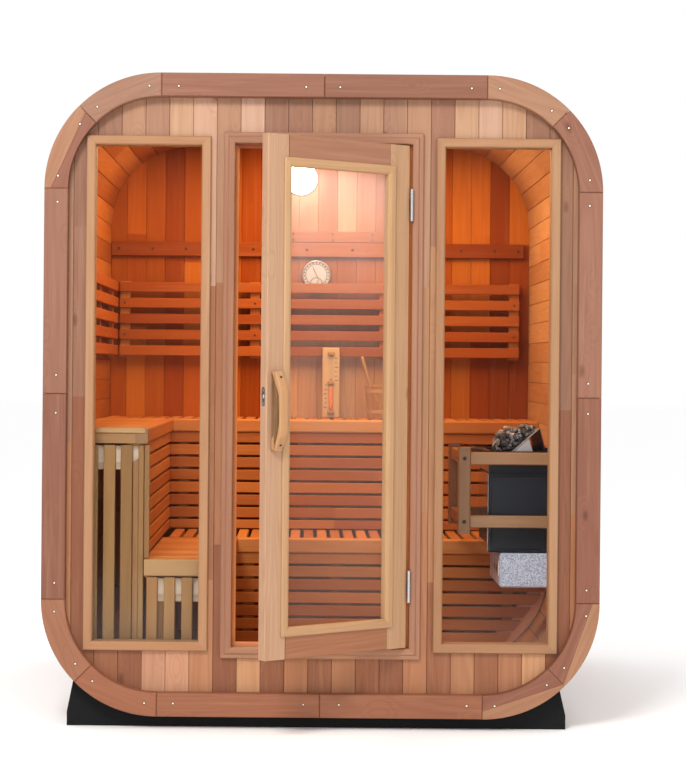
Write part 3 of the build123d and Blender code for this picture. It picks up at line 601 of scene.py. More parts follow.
def eased(pts, c):
    """The outline drawn in by c all round."""
    n = len(pts)
    turn = 1 if sum(pts[k - 1][0] * pts[k][1] - pts[k][0] * pts[k - 1][1] for k in range(n)) > 0 else -1
    out = []
    for k in range(n):
        a, b, d = Vector(pts[k - 1]), Vector(pts[k]), Vector(pts[(k + 1) % n])
        e, f = (b - a).normalized(), (d - b).normalized()
        na, nb = Vector((-e.y, e.x)) * turn, Vector((-f.y, f.x)) * turn
        s = na + nb
        s = s / max(0.35, s.dot(na))
        out.append((b.x + s.x * c, b.y + s.y * c))
    return out


# Arcs sawn from two boards glued edge to edge: where the straight glue line meets each end.
GLUED = {("upper_left", 1): (346, 354), ("lower_right", 0): (349, 368), ("lower_right", 1): (368, 352)}


def arc_at(cx, cz, r, a0, a1, n=14):
    return [(cx + r * math.cos(a0 + (a1 - a0) * i / n), cz + r * math.sin(a0 + (a1 - a0) * i / n)) for i in range(n + 1)]


def ring(name, front, seed):
    place = (lambda a, b, d: P(a, d, b)) if front else (lambda a, b, d: P(a, 1850 - d, b))
    low = lambda a, b, d: place(a, b, d + 0.7)  # the screw plugs reach the face, the wood is just under it
    boards, arcs = Mesh(seed), Mesh(seed + 1)
    straights = []
    for x0, x1 in ((-525, 0), (0, 525)):
        straights.append((x0, x1, 2039, 2115))
        straights.append((x0, x1, 40, 116))
    for z0, z1 in ((415, 1077.5), (1077.5, 1740)):
        straights.append((-900, -824, z0, z1))
        straights.append((824, 900, z0, z1))
    for i, (x0, x1, z0, z1) in enumerate(straights):
        if x1 - x0 > 100:
            x0, x1 = x0 + 0.4, x1 - 0.4
        else:
            z0, z1 = z0 + 0.4, z1 - 0.4
        c = 2.5
        out = [(x0, z0), (x1, z0), (x1, z1), (x0, z1)]
        ins = [(x0 + c, z0 + c), (x1 - c, z0 + c), (x1 - c, z1 - c), (x0 + c, z1 - c)]
        tint = pick(boards.rng, RING_LOW if z1 < 500 else RING_TINT, 0.05)
        plate(boards, out, ins, low, 39.3, c, tint, (1, 0) if x1 - x0 > 100 else (0, 1))
        for e in (0, 1):
            d = boards.rng.uniform(42, 66)
            if x1 - x0 > 100:
                inward = 33 if z0 > 1000 else 43
                x, z = (x0 + d if e == 0 else x1 - d), z0 + inward
            else:
                inward = 43 if x0 < 0 else 33
                x, z = x0 + inward, (z0 + d if e == 0 else z1 - d)
            plug(boards, x, z, place)
    for j, (corner, (cx, cz, start)) in enumerate(CORNERS.items()):
        for h in (0, 1):
            a0, a1 = math.radians(start + 45 * h), math.radians(start + 45 * (h + 1))
            gap = 0.0011
            out = sector_outline(cx, cz, 299, 375, a0 + gap, a1 - gap)
            ins = sector_outline(cx, cz, 299, 375, a0 + gap, a1 - gap, 2.5)
            mid = (a0 + a1) / 2
            tint = pick(arcs.rng, RING_LOW if "lower" in corner else RING_TINT, 0.06)
            if (corner, h) in (("upper_left", 0), ("upper_right", 1)):  # lighter wood in the two arcs next to the top boards
                tint = lin((176, 128, 102) if h == 0 else (190, 140, 108))
            along = (-math.sin(mid), math.cos(mid))
            if (corner, h) in GLUED:
                ra, rb = GLUED[corner, h]
                b0, b1 = a0 + gap, a1 - gap
                pa, pb = (cx + ra * math.cos(b0), cz + ra * math.sin(b0)), (cx + rb * math.cos(b1), cz + rb * math.sin(b1))
                inner_part = arc_at(cx, cz, 299, b0, b1) + [pb, pa]
                outer_part = arc_at(cx, cz, 375, b0, b1)[::-1] + [pa, pb]
                plate(arcs, inner_part, eased(inner_part, 1.0), low, 39.3, 1.0, shade(lin((160, 102, 78)), 1.0), along)
                plate(arcs, outer_part, eased(outer_part, 0.7), low, 39.3, 0.7, shade(lin((189, 135, 100)), 1.0), along)
            else:
                plate(arcs, out, ins, low, 39.3, 2.5, tint, along)
            for e in (0.15, 0.85):
                t = a0 + (a1 - a0) * e
                plug(arcs, cx + 334 * math.cos(t), cz + 334 * math.sin(t), place)
    side = "front" if front else "rear"
    boards.make(f"{side}_ring_boards", [M_WOOD, M_PLUG, M_DARK], "cabin", "cedar_trim", [f"{side}_trim_boards"])
    arcs.make(f"{side}_ring_corners", [M_WOOD, M_PLUG, M_DARK], "cabin", "cedar_trim", [f"{side}_trim_corners"])


def plug(m, x, z, place):
    """A countersunk screw in a plugged hole: dark rim, light middle."""
    lathe(m, [(4.9, 3.0), (4.9, 0.35), (3.3, 0.35), (3.1, 0.6), (0.01, 0.6)], lambda a, b, h: place(x + a, z + b, h), 12, (0.1, 0.07, 0.05), 2, False)
    lathe(m, [(2.9, 2.0), (2.9, 0.3), (2.5, 0.05), (0.01, 0.05)], lambda a, b, h: place(x + a, z + b, h), 12, (0.95, 0.86, 0.78), 1, False)


ring("front", True, 31)
ring("rear", False, 41)

# ---------------------------------------------------------------- end walls of upright boards

SEAM = 0.9
EDGES = [-852] + [-38.5 + 77 * k for k in range(-10, 12)] + [852]


def shell_z(x, top, r=326.5):
    x = min(abs(x), 851.4)
    base = 1740 if top else 415
    if x <= 525:
        return 2066.5 if top else 88.5
    d = math.sqrt(max(0.0, r * r - (x - 525) ** 2))
    return base + d if top else base - d


def wall(y0, y1, regions, seed, palette, mat, tone=None, edges=EDGES, outside=None, splits=((420, 760), (900, 1250), (1400, 1750))):
    """Fills named regions, each a list of (x0, x1, z0, z1), with boards on one common pitch.
    outside lists the weathered tints of a face at y1 that looks away from the room."""
    plan = random.Random(seed)
    weather = random.Random(seed + 500)
    cuts = []
    for i in range(len(edges) - 1):
        c = [80] + sorted(plan.uniform(a, b) for a, b in splits) + [2080]
        tones = []
        for q in range(len(c)):
            own = tone(i, (c[q] + c[min(q + 1, len(c) - 1)]) / 2) if tone else None
            tones.append(pick(plan, [own] if own else palette, 0.05 if tone else 0.1))
        skins = []
        for _ in c if outside else ():  # most lengths run on in one tone
            skins.append(skins[-1] if skins and weather.random() < 0.6 else pick(weather, outside, 0.06))
        cuts.append((c, tones, skins))
    for n, (name, node, boxes) in enumerate(regions):
        m = Mesh(seed + 1 + n)
        for x0, x1, z0, z1 in boxes:
            for i in range(len(edges) - 1):
                a, b = max(x0, edges[i]), min(x1, edges[i + 1])
                if b - a < 0.5:
                    continue
                ca_, cb_ = (SEAM if a == edges[i] else 0.0), (SEAM if b == edges[i + 1] else 0.0)
                da_, db_ = 4.0 * ca_, 4.0 * cb_
                prof = []
                for u, v in [(a + ca_ * 1.6, y0), (b - cb_ * 1.6, y0), (b - cb_, y0 + cb_), (b - cb_ * 0.6, y0 + db_), (b, y0 + db_), (b, y1 - db_), (b - cb_ * 0.6, y1 - db_), (b - cb_, y1 - cb_), (b - cb_ * 1.6, y1),
                             (a + ca_ * 1.6, y1), (a + ca_, y1 - ca_), (a + ca_ * 0.6, y1 - da_), (a, y1 - da_), (a, y0 + da_), (a + ca_ * 0.6, y0 + da_), (a + ca_, y0 + ca_)]:
                    if not prof or (abs(prof[-1][0] - u) + abs(prof[-1][1] - v)) > 1e-6:
                        prof.append((u, v))
                if abs(prof[0][0] - prof[-1][0]) + abs(prof[0][1] - prof[-1][1]) < 1e-6:
                    prof.pop()
                if max(abs(a), abs(b)) > 525:  # enough points for the ends to follow the rounded corner
                    fine = []
                    for (u0, v0), (u1, v1) in zip(prof, prof[1:] + prof[:1]):
                        steps = 10 if abs(u1 - u0) > 12 else 1
                        fine += [(u0 + (u1 - u0) * k / steps, v0 + (v1 - v0) * k / steps) for k in range(steps)]
                    prof = fine
                cc, tints, skins = cuts[i]
                for q in range(len(cc) - 1):
                    s0, s1 = max(cc[q], z0), min(cc[q + 1], z1)
                    if s1 - s0 < 0.5:
                        continue
                    low = lambda u, v, s0=s0: max(s0, shell_z(u, False))
                    high = lambda u, v, s1=s1: min(s1, shell_z(u, True))
                    if max(high(u, v) - low(u, v) for u, v in prof) < 1:
                        continue
                    skin = (lambda u, v: v > y1 - 5, skins[q]) if skins else None
                    if s1 < 1077:
                        stick(m, prof, lambda u, v: min(low(u, v), s1 - 0.01), high, along_z, tints[q], skin=skin)
                    else:
                        stick(m, prof, low, lambda u, v: max(high(u, v), s0 + 0.01), along_z, tints[q], skin=skin)
        m.make(name, [mat], "cabin", "cedar_boards", [node])


# Front boards of lighter wood, counted from the left: at the top of the wall and at its foot.
LIGHT_TOP, LIGHT_FOOT = (5, 6, 8, 17, 18, 19), (4, 5, 8, 20)
TOP_BOARDS, TOP_LIGHT = [(172, 121, 94), (174, 124, 96), (186, 136, 106), (196, 146, 112)], [(218, 168, 130), (224, 176, 146)]
FOOT_BOARDS, FOOT_LIGHT = [(160, 98, 66), (172, 108, 72), (192, 128, 88), (204, 140, 97)], [(228, 168, 120), (224, 164, 128)]


def front_tone(i, z):
    """A seeded tone for each board; the narrow piers beside the doorway are redder."""
    rng = random.Random(911 + 2 * i + (z > 900))
    if i in (6, 7, 15, 16) and 500 < z < 1700:
        return (184, 122, 81) if i < 10 else (199, 143, 100)
    if z > 900:
        return rng.choice(TOP_LIGHT if i in LIGHT_TOP else TOP_BOARDS)
    return rng.choice(FOOT_LIGHT if i in LIGHT_FOOT else FOOT_BOARDS)


wall(40, 82, [
    ("front_boards_left", "front_wall_left", [(-852, -747, 80, 2080), (-747, -385, 80, 269), (-747, -385, 1894, 2080), (-385, -305, 80, 2080)]),
    ("front_boards_right", "front_wall_right", [(747, 852, 80, 2080), (385, 747, 80, 269), (385, 747, 1894, 2080), (305, 385, 80, 2080)]),
    ("front_boards_over_door", "front_wall_over_door", [(-305, 305, 1910, 2080)]),
    ("front_boards_under_door", "front_wall_under_door", [(-305, 305, 80, 244)]),
], 52, CEDAR, M_WOOD, front_tone)
# Back wall boards, seen from inside, left to right.
BACK_EDGES = [-852] + [-86.5 + 78 * k for k in range(-9, 12)] + [852]
# These saturated back wall tones carry painted warm lamplight as well as the wood's colour.
BACK_BOARDS, BACK_PALE = [(186, 90, 22), (206, 110, 32), (206, 110, 32), (236, 142, 52)], [(236, 188, 154), (222, 162, 126), (206, 144, 108)]


def back_tone(i, z):
    """Paler boards in the middle, redder ones with odd lengths of other tones beside them."""
    rng = random.Random(10385 + i)
    if 9 <= i <= 14:
        if z > 1600:
            return rng.choice(BACK_PALE)
        return (206, 138, 98) if z > 1280 else rng.choice([(255, 216, 182), (250, 204, 168)])
    if (i * 7 + int(z / 500)) % 5 == 0:
        return None
    k = 1.0 if z > 1280 else 1.1 if i < 9 else 0.93
    return tuple(min(255, round(v * k)) for v in rng.choice(BACK_BOARDS))


wall(1768, 1810, [("back_boards", "back_wall", [(-852, 852, 80, 2080)])], 63, INNER, M_LINING,
     back_tone, BACK_EDGES, TOP_BOARDS + TOP_LIGHT, ((420, 760), (1285, 1330), (1580, 1720)))

# ---------------------------------------------------------------- windows and doorway


def moulding(w, y0, y1, step=0.0, inner=0.0):
    """Outline of a flat frame member with eased edges; optionally raised towards its inner edge."""
    if not step:
        return [(0, y1), (0, y0 + 2.5), (2.5, y0), (w - 5, y0), (w - 1.5, y0 + 2.5), (w, y0 + 6), (w, y1)]
    return [(0, y1), (0, y0 + 2), (2, y0), (w - inner - 3, y0), (w - inner - 1.5, y0 - 2), (w - inner, y0 - step + 1.5), (w - inner + 2.5, y0 - step), (w - 4, y0 - step), (w - 1, y0 - step + 1.5), (w, y0 - step + 4), (w, y1)]


for side, sx in (("left", -1), ("right", 1)):
    m = Mesh(71 if sx < 0 else 72)
    x0, x1 = (-767, -365) if sx < 0 else (365, 767)
    tints = [shade(pick(m.rng, FRAMEWOOD, 0.05), 0.96 if sx < 0 else 0.86) for _ in range(4)]
    mitred(m, x0, x1, 249, 1914, moulding(30, 24, 40), P, tints)
    x0, x1 = (-747, -385) if sx < 0 else (385, 747)
    mitred(m, x0 + 0.3, x1 - 0.3, 269.3, 1893.7, [(0, 50.2), (9.7, 50.2), (9.7, 78), (6, 81.7), (0, 81.7)], P, [pick(m.rng, FRAMEWOOD, 0.05) for _ in range(4)])
    m.make(f"{side}_window_trim", [M_FINE], "cabin", "pale_frame_wood", [f"{side}_window_frame"])

m = Mesh(73)
CASING = [(194, 140, 106), (188, 132, 101), (199, 147, 112)]
mitred(m, -323, 323, 226, 1928, moulding(36, 27, 40, 5, 20), P, [pick(m.rng, CASING, 0.05) for _ in range(4)])
m.make("doorway_casing", [M_FINE], "cabin", "pale_frame_wood", ["door_casing"])
m = Mesh(74)
tints = [pick(m.rng, CASING, 0.05) for _ in range(4)]
mitred(m, -305, 305, 244, 1910, [(0, 40.2), (17.9, 40.2), (17.9, 82), (0, 82)], P, tints)
# Stop beads at head, sill, left and right. Their deep orange tints are painted light and shade: the warm glow from
# inside, darkest at the head, brightest on the right.
mitred(m, -287, 287, 262, 1892, [(0, 62), (10.8, 62), (12, 63.2), (12, 80), (10, 82), (0, 82)], P, [(0.38, 0.09, 0.03), (0.60, 0.22, 0.10), (0.55, 0.18, 0.045), (0.86, 0.30, 0.07)])
m.make("doorway_jamb", [M_FINE], "cabin", "pale_frame_wood", ["door_jamb"])

for n in ("left_window_pane", "right_window_pane", "door_pane"):
    nodes[n].data.materials.clear()
    nodes[n].data.materials.append(M_LEAF_GLASS if n == "door_pane" else M_GLASS)

# ---------------------------------------------------------------- door leaf


def dz(s, u, v):
    return D(u, v, s)


def dx_(s, u, v):
    return D(s, u, v)


m = Mesh(81)
stick(m, rect(-282, -202, 22, 56, 2.5), 267, 1887, dz, lin((216, 170, 134)))
stick(m, rect(202, 282, 22, 56, 2.5), 267, 1887, dz, lin((214, 168, 126)))
m.make("leaf_stiles", [M_WOOD], "door", "door_wood", ["door_stiles"])
m = Mesh(82)
stick(m, rect(22, 56, 1799, 1887, 2.0), -201.6, 201.6, lambda s, u, v: D(s, u, v), lin((192, 136, 106)))
stick(m, rect(22, 56, 267, 355, 2.0), -201.6, 201.6, lambda s, u, v: D(s, u, v), lin((186, 123, 86)))
m.make("leaf_rails", [M_WOOD], "door", "door_wood", ["door_rails"])
m = Mesh(83)
tints = [lin((220, 172, 124)), lin((214, 166, 120)), lin((222, 176, 130)), lin((218, 170, 122))]
mitred(m, -221, 221, 336, 1818, [(0, 21.8), (0, 18.5), (3, 15.2), (18, 15.2), (26, 18), (29, 22), (29, 34.8), (21, 34.8), (21, 21.8)], D, tints)
m.make("leaf_bead", [M_FINE], "door", "door_wood", ["door_bead"])


def smooth_loop(pts, n=5):
    """Rounds a closed outline by cutting its corners."""
    for _ in range(n):
        out = []
        for i in range(len(pts)):
            a, b = pts[i], pts[(i + 1) % len(pts)]
            out.append((a[0] * 0.75 + b[0] * 0.25, a[1] * 0.75 + b[1] * 0.25))
            out.append((a[0] * 0.25 + b[0] * 0.75, a[1] * 0.25 + b[1] * 0.75))
        pts = out
    return pts


def inset_loop(pts, c):
    out = []
    n = len(pts)
    for i in range(n):
        a, b = Vector(pts[i - 1]), Vector(pts[(i + 1) % n])
        t = (b - a).normalized()
        out.append((pts[i][0] - t.y * c, pts[i][1] + t.x * c))
    return out


# The bow handle: side view as (distance off the leaf, height), turned anticlockwise.
m = Mesh(84)
H = 122.5
half_side = [(51.0, 0.0), (51.0, 38.0), (50.6, 62.5), (46.0, 78.5), (35.0, 98.0), (24.0, 116.5), (22.0, 122.4), (10.0, 122.4), (0.2, 122.4), (0.2, 104.0), (0.2, 86.5), (21.0, 63.5), (35.0, 54.5), (39.2, 42.5), (39.2, 12.0)]
side = half_side + [(d, -z) for d, z in reversed(half_side[1:])]
loop = []
for i, (d, z) in enumerate(side):
    d2, z2 = side[(i + 1) % len(side)]
    loop += [(d, z), ((d * 2 + d2) / 3, (z * 2 + z2) / 3), ((d + 2 * d2) / 3, (z + 2 * z2) / 3)]
HX0, HX1 = -265.4, -234.4
for c0, x_a, x_b in ((3.0, HX0, HX1),):
    rounds = [(4.0, 0.0), (1.6, 1.2), (0.4, 3.2), (0.0, 6.0)]
    n = len(loop)
    off = m.offset()
    rows = [(inset_loop(loop, c), x_a + e) for c, e in rounds] + [(inset_loop(loop, c), x_b - e) for c, e in reversed(rounds)]
    vs, gs, fs = [], [], []
    for pts, x in rows:
        for d, z in pts:
            vs.append(D(x, 22 - max(0.2, d), 1034 + z))
            gs.append((z / 1000 + off[0], x / 1000 + off[1], d / 1000 + off[2]))
    for r in range(len(rows) - 1):
        for i in range(n):
            j = (i + 1) % n
            fs.append([r * n + i, r * n + j, (r + 1) * n + j, (r + 1) * n + i])
    fs += [list(range(n - 1, -1, -1)), [(len(rows) - 1) * n + i for i in range(n)]]
    m.add(vs, fs, lin((222, 168, 116)), gs, 0, False)
for dz_ in (-103.5, 103.5):
    lathe(m, [(4.2, -3.0), (4.2, 0.6), (3.0, 1.4), (1.4, 1.4), (1.2, 0.4), (0.01, 0.4)],
          lambda a, b, h: D(-249.9 + a, 22 - 31.6 - h, 1034 + dz_ + b), 12, (0.05, 0.04, 0.03), 1, False)
m.make("bow_handle", [M_PALE, M_DARK], "door", "door_wood", ["door_handle"])

# Latch: a round-ended strike plate let into the free edge, with its roller and two screws.
m = Mesh(85)
half = 10.0
pts = []
for i in range(24):
    t = 2 * math.pi * i / 24
    pts.append((39 + (half - 0.4) * math.cos(t), 1078 + (21.3 if math.sin(t) >= 0 else -21.3) + (half - 0.4) * math.sin(t)))
place = lambda a, b, d: D(-282 + d, a, b)
plate(m, pts, [(39 + (a - 39) * 0.93, 1078 + (b - 1078) * 0.98) for a, b in pts], place, 2.0, 0.5, (0.6, 0.6, 0.6), (0, 1))
for z in (1078 - 21, 1078 + 21):
    lathe(m, [(3.4, 1.0), (3.4, -0.5), (2.0, -0.8), (1.0, -0.8), (0.9, -0.3), (0.01, -0.3)], lambda a, b, h: D(-282 + h, 39 + a, z + b), 12, (0.6, 0.6, 0.6), 0, False)
lathe(m, [(4.6, 0.8), (4.6, -0.4), (3.6, -1.4), (1.6, -2.0), (0.01, -2.1)], lambda a, b, h: D(-282 + h, 39 + a, 1078 + b * 1.5), 16, (0.6, 0.6, 0.6), 0)
m.make("latch_plate", [M_STEEL], "door", "hinge_steel", ["door_latch"])


def dress(node, mat, width=0.0008):
    """Keeps a frame piece's own shape, with eased edges and a finish."""
    ob = nodes[node]
    ob.data.materials.clear()
    ob.data.materials.append(mat)
    for p in ob.data.polygons:
        p.use_smooth = False
    b = ob.modifiers.new("eased", "BEVEL")
    b.width = width
    b.segments = 2
    b.limit_method = "ANGLE"
    b.angle_limit = math.radians(40)


dress("frame_hinges", M_STEEL, 0.0004)
dress("door_hinges", M_STEEL, 0.0004)
dress("front_cradle", M_BLACK, 0.003)
dress("rear_cradle", M_BLACK, 0.003)

# ---------------------------------------------------------------- benches


def nose(u0, u1, v0, v1, r, corners):
    """A nosing's outline with the named corners rounded: lists of (u side, v side)."""
    out = []
    for su, sv, start in ((0, 0, 180), (1, 0, 270), (1, 1, 0), (0, 1, 90)):
        u, v = (u1 if su else u0), (v1 if sv else v0)
        rr = r if (su, sv) in corners else 1.2
        cu, cv = u + (-rr if su else rr), v + (-rr if sv else rr)
        for k in range(5 if rr > 2 else 2):
            t = math.radians(start + 90 * k / (4 if rr > 2 else 1))
            out.append((cu + rr * math.cos(t), cv + rr * math.sin(t)))
    return out


def slat_row(a, b, pitch=50.0):
    n = int((b - a) // pitch)
    start = (a + b) / 2 - (n - 1) * pitch / 2
    return [start + k * pitch for k in range(n)]


REACH = 850.0
m = Mesh(91)
for x in slat_row(-REACH, REACH):
    stick(m, rect(x - 18.5, x + 18.5, 938, 966, 2.5), 1398, 1766, along_y, pick(m.rng, BENCH, 0.06))
thirds(m, nose(1368, 1398, 915, 966, 8, [(0, 1), (0, 0)]), -567.5, REACH, BENCH, [(255, 190, 124), (252, 184, 118)])
for y0, y1 in ((1398, 1438), (1726, 1766)):
    stick(m, rect(y0, y1, 904, 938, 1.5), -REACH, REACH, along_x, pick(m.rng, BENCH, 0.05))
m.make("upper_seat_back", [M_SEAT], "cabin", "bench_wood", ["upper_bench_back"])

m = Mesh(92)
for y in slat_row(140, 1397):
    stick(m, rect(y - 18.5, y + 18.5, 938, 966, 2.5), -REACH, -598, along_x, pick(m.rng, BENCH, 0.06))
stick(m, nose(-598, -568, 915, 966, 8, [(1, 1), (1, 0)]), 140.3, 1397, along_y, pick(m.rng, BENCH, 0.05))
stick(m, nose(110, 140, 949.4, 966, 5, [(0, 1)]), -REACH, -578.2, along_x, lin((214, 168, 118)))
stick(m, rect(111.6, 140, 915, 947.6, 1.2), -REACH, -608.4, along_x, lin((188, 140, 94)))
butt = [(-608, 915), (-572, 915), (-568.8, 916.2), (-568, 919), (-568, 951), (-568.8, 957), (-571, 962), (-574.4, 965.2), (-577.8, 966), (-577.8, 948.4), (-608, 948.4)]
plate(m, butt, eased(butt, 0.8), lambda a, b, d: P(a, 110.6 + d, b), 29.2, 0.8, lin((172, 130, 96)), (0.3, 0.95))
for x0, x1 in ((-850, -810), (-638, -598)):
    stick(m, rect(x0, x1, 904, 938, 1.5), 140, 1397, along_y, pick(m.rng, BENCH, 0.05))
m.make("upper_seat_left", [M_SEAT], "cabin", "bench_wood", ["upper_bench_left"])

m = Mesh(93)
for x in slat_row(-577, REACH):
    stick(m, rect(x - 18.5, x + 18.5, 509, 537, 2.5), 1005, 1377, along_y, pick(m.rng, BENCH, 0.06))
cuts = joints(m.rng, -299.5, REACH, 700, 1500)
for s0, s1 in zip(cuts, cuts[1:]):
    stick(m, nose(975, 1005, 482, 537, 8, [(0, 1), (0, 0)]), s0, s1, along_x, pick(m.rng, BENCH, 0.05))
for y0, y1 in ((1005, 1045), (1337, 1377)):
    stick(m, rect(y0, y1, 475, 509, 1.5), -577, REACH, along_x, pick(m.rng, BENCH, 0.05))
m.make("lower_seat_back", [M_SEAT], "cabin", "bench_wood", ["lower_bench_back"])

m = Mesh(94)
for y in slat_row(130, 1004):
    stick(m, rect(y - 18.5, y + 18.5, 509, 537, 2.5), -577, -330, along_x, pick(m.rng, BENCH, 0.06))
stick(m, nose(-330, -300, 482, 537, 8, [(1, 1), (1, 0)]), 130.3, 1004, along_y, pick(m.rng, BENCH, 0.05))
stick(m, nose(100, 130, 482, 537, 6, [(0, 1), (0, 0)]), -577, -300, along_x, lin((206, 160, 112)))
for x0, x1 in ((-577, -537), (-370, -330)):
    stick(m, rect(x0, x1, 475, 509, 1.5), 130, 1004, along_y, pick(m.rng, BENCH, 0.05))
m.make("lower_seat_left", [M_SEAT], "cabin", "bench_wood", ["lower_bench_left"])


def levels(top, bottom, first, pitch, high):
    out = [(top - first, top)]
    z = top - first - (pitch - high)
    while z - bottom > 12:
        out.append((max(bottom, z - high), z))
        z -= pitch
    return out


UP = levels(914, 541, 39.0, 48.6, 39.6)
LOW = levels(481, 90, 39.0, 48.2, 39.2)


def reach_at(z):
    """How far the room reaches sideways at that height."""
    if z >= 415:
        return 849.5
    return 524 + math.sqrt(max(0.0, 325.5**2 - (415 - z) ** 2))


m = Mesh(95)
for z0, z1 in UP:
    jointed(m, rect(1378, 1396, z0, z1, 2.0), -577, REACH, along_x, SKIRT, 500, 1400)
for x in (-528, -60, 400, 820):
    stick(m, rect(x - 20, x + 20, 1396, 1420, 1.5), 541, 895, along_z, pick(m.rng, BENCH, 0.05))
m.make("upper_front_slats", [M_SEAT], "cabin", "bench_wood", ["upper_skirt_back"])
m = Mesh(96)
for z0, z1 in UP:
    stick(m, rect(-596, -578, z0, z1, 2.0), 140, 1377, along_y, pick(m.rng, SKIRT, 0.06))
for y in (170, 740, 1328):
    stick(m, rect(-620, -596, y - 20, y + 20, 1.5), 541, 895, along_z, pick(m.rng, PANEL, 0.05))
m.make("upper_side_slats", [M_SEAT], "cabin", "bench_wood", ["upper_skirt_left"])
def sawn_at(z):
    """Where the lower front slats end, sawn on the slant to clear the rounded corner."""
    return min(reach_at(z), 620 + (z - 73) * 0.776)


m = Mesh(97)
for z0, z1 in LOW:
    cuts = joints(m.rng, -309, sawn_at(z0), 500, 1200)
    for s0, s1 in zip(cuts, cuts[1:]):
        stick(m, rect(985, 1003, z0, z1, 2.0), s0, (lambda u, v: sawn_at(v)) if s1 == cuts[-1] else s1, along_x, pick(m.rng, SKIRT, 0.05))
for x in (-260, 60, 420, 700):
    stick(m, rect(x - 20, x + 20, 1003, 1027, 1.5), 92 if x < 600 else 206, 462, along_z, pick(m.rng, BENCH, 0.05))
# A board scribed to close the rounded corner. Its very bright tint is painted light, standing in for the daylight that
# falls on it.
closing = [(x, max(91.0, 415.5 - math.sqrt(max(0.0, 325.0**2 - (max(x, 525) - 525) ** 2)))) for x in (586, 620, 660, 700, 740, 780, 810, 830, 842, 848)] + [(849, 390), (849, 424), (838, 424)]
plate(m, closing, eased(closing, 0.8), lambda a, b, d: P(a, 1003.2 + d, b), 13.6, 0.8, (1.0, 0.52, 0.30), (0.61, 0.79))
m.make("lower_front_slats", [M_SEAT], "cabin", "bench_wood", ["lower_skirt_back"])
m = Mesh(98)
for z0, z1 in LOW:
    stick(m, rect(-328, -310, z0, z1, 2.0), 130, 984, along_y, pick(m.rng, SKIRT, 0.06))
for y in (160, 560, 935):
    stick(m, rect(-352, -328, y - 20, y + 20, 1.5), 90, 462, along_z, pick(m.rng, BENCH, 0.05))
m.make("lower_side_slats", [M_SEAT], "cabin", "bench_wood", ["lower_skirt_left"])

def foot_at(x):
    """Where the room's rounded corner lets an upright start."""
    return max(90.0, 415.5 - math.sqrt(max(0.0, 325.0**2 - max(0.0, abs(x) - 525) ** 2)))


m = Mesh(99)
stick(m, rect(-579, -562, 118, 138, 1.5), 541, 909, along_z, lin((168, 122, 76)))
for x0, x1 in ((-657, -619), (-713, -675), (-770, -732), (-828, -789)):
    stick(m, rect(x0, x1, 118, 136, 2.0), lambda u, v: foot_at(u), 909, along_z, pick(m.rng, PANEL, 0.06))
stick(m, rect(-617, -598.8, 122, 136, 1.6), lambda u, v: foot_at(u), lambda u, v: 866 + 0.65 * (u + 598.8), along_z, lin((172, 124, 80)))
stick(m, rect(-598.4, -581, 122, 136, 1.6), lambda u, v: foot_at(u), 909, along_z, lin((180, 134, 86)))
# Painted light: a pale strip behind the uprights standing in for daylight seen through their gaps, and a less pale
# strip under it where that light fades.
stick(m, rect(136, 150, 850, 907, 1.5), -849.5, -600, along_x, lin((250, 226, 202)))
stick(m, rect(136, 150, 828, 849.6, 1.0), -849.5, -600, along_x, lin((224, 190, 162)))
m.make("upper_end_slats", [M_SEAT, M_DARK], "cabin", "bench_wood", ["upper_end_panel"])

m = Mesh(100)
# Uprights in the upper panel's palette made 1.2 times lighter: painted light, the daylight they catch by the window.
for x0, x1 in ((-569, -533), (-511.5, -475.5), (-454, -418), (-396.5, -360.5), (-339, -303)):
    stick(m, rect(x0, x1, 108, 126, 2.0), lambda u, v: foot_at(u), 478, along_z, shade(pick(m.rng, PANEL, 0.06), 1.2))
# Painted light: a pale strip behind the uprights standing in for daylight seen through their gaps, and a less pale
# strip under it where that light fades.
stick(m, rect(126, 140, 419, 474, 1.5), -562, -331, along_x, lin((250, 226, 202)))
stick(m, rect(126, 140, 397, 418.6, 1.0), -562, -331, along_x, lin((224, 192, 164)))
stick(m, rect(-536, -508, 126, 140, 1.5), lambda u, v: foot_at(u), 396.8, along_z, lin((150, 104, 62)))
m.make("lower_end_slats", [M_SEAT, M_DARK], "cabin", "bench_wood", ["lower_end_panel"])

m = Mesh(101)
for k in range(5):
    z = 1213 + 64.3 * k
    thirds(m, rect(1710, 1728, z, z + 40, 2.0), -811, 808, REST, REST_MID)
    if k in (1, 3):
        for x in (-791, -263, 261, 788):
            screw(m, x, z + 20, 1710, P, 4.2)
for x in (-791, -263, 261, 788):
    stick(m, rect(x - 20, x + 20, 1728, 1767.7, 1.5), 1205, 1514, along_z, pick(m.rng, BENCH, 0.05))
m.make("back_rest_slats", [M_SEAT, M_DARK], "cabin", "bench_wood", ["backrest_back"])

m = Mesh(102)
for k in range(5):
    z = 1213 + 64.3 * k
    stick(m, rect(-833, -815, z, z + 40, 2.0), 180, 1693, along_y, pick(m.rng, REST, 0.05))
    for y in (210, 700, 1180, 1660):
        lathe(m, [(3.6, -2.0), (3.6, 0.3), (2.6, 0.6), (0.01, 0.6)], lambda a, b, h: P(-815 + h, y + a, z + 20 + b), 10, (0.05, 0.04, 0.03), 1, False)
for y in (210, 700, 1180, 1660):
    stick(m, rect(-851.7, -833, y - 20, y + 20, 1.5), 1205, 1514, along_z, pick(m.rng, BENCH, 0.05))
m.make("side_rest_slats", [M_SEAT, M_DARK], "cabin", "bench_wood", ["backrest_left"])

m = Mesh(103)
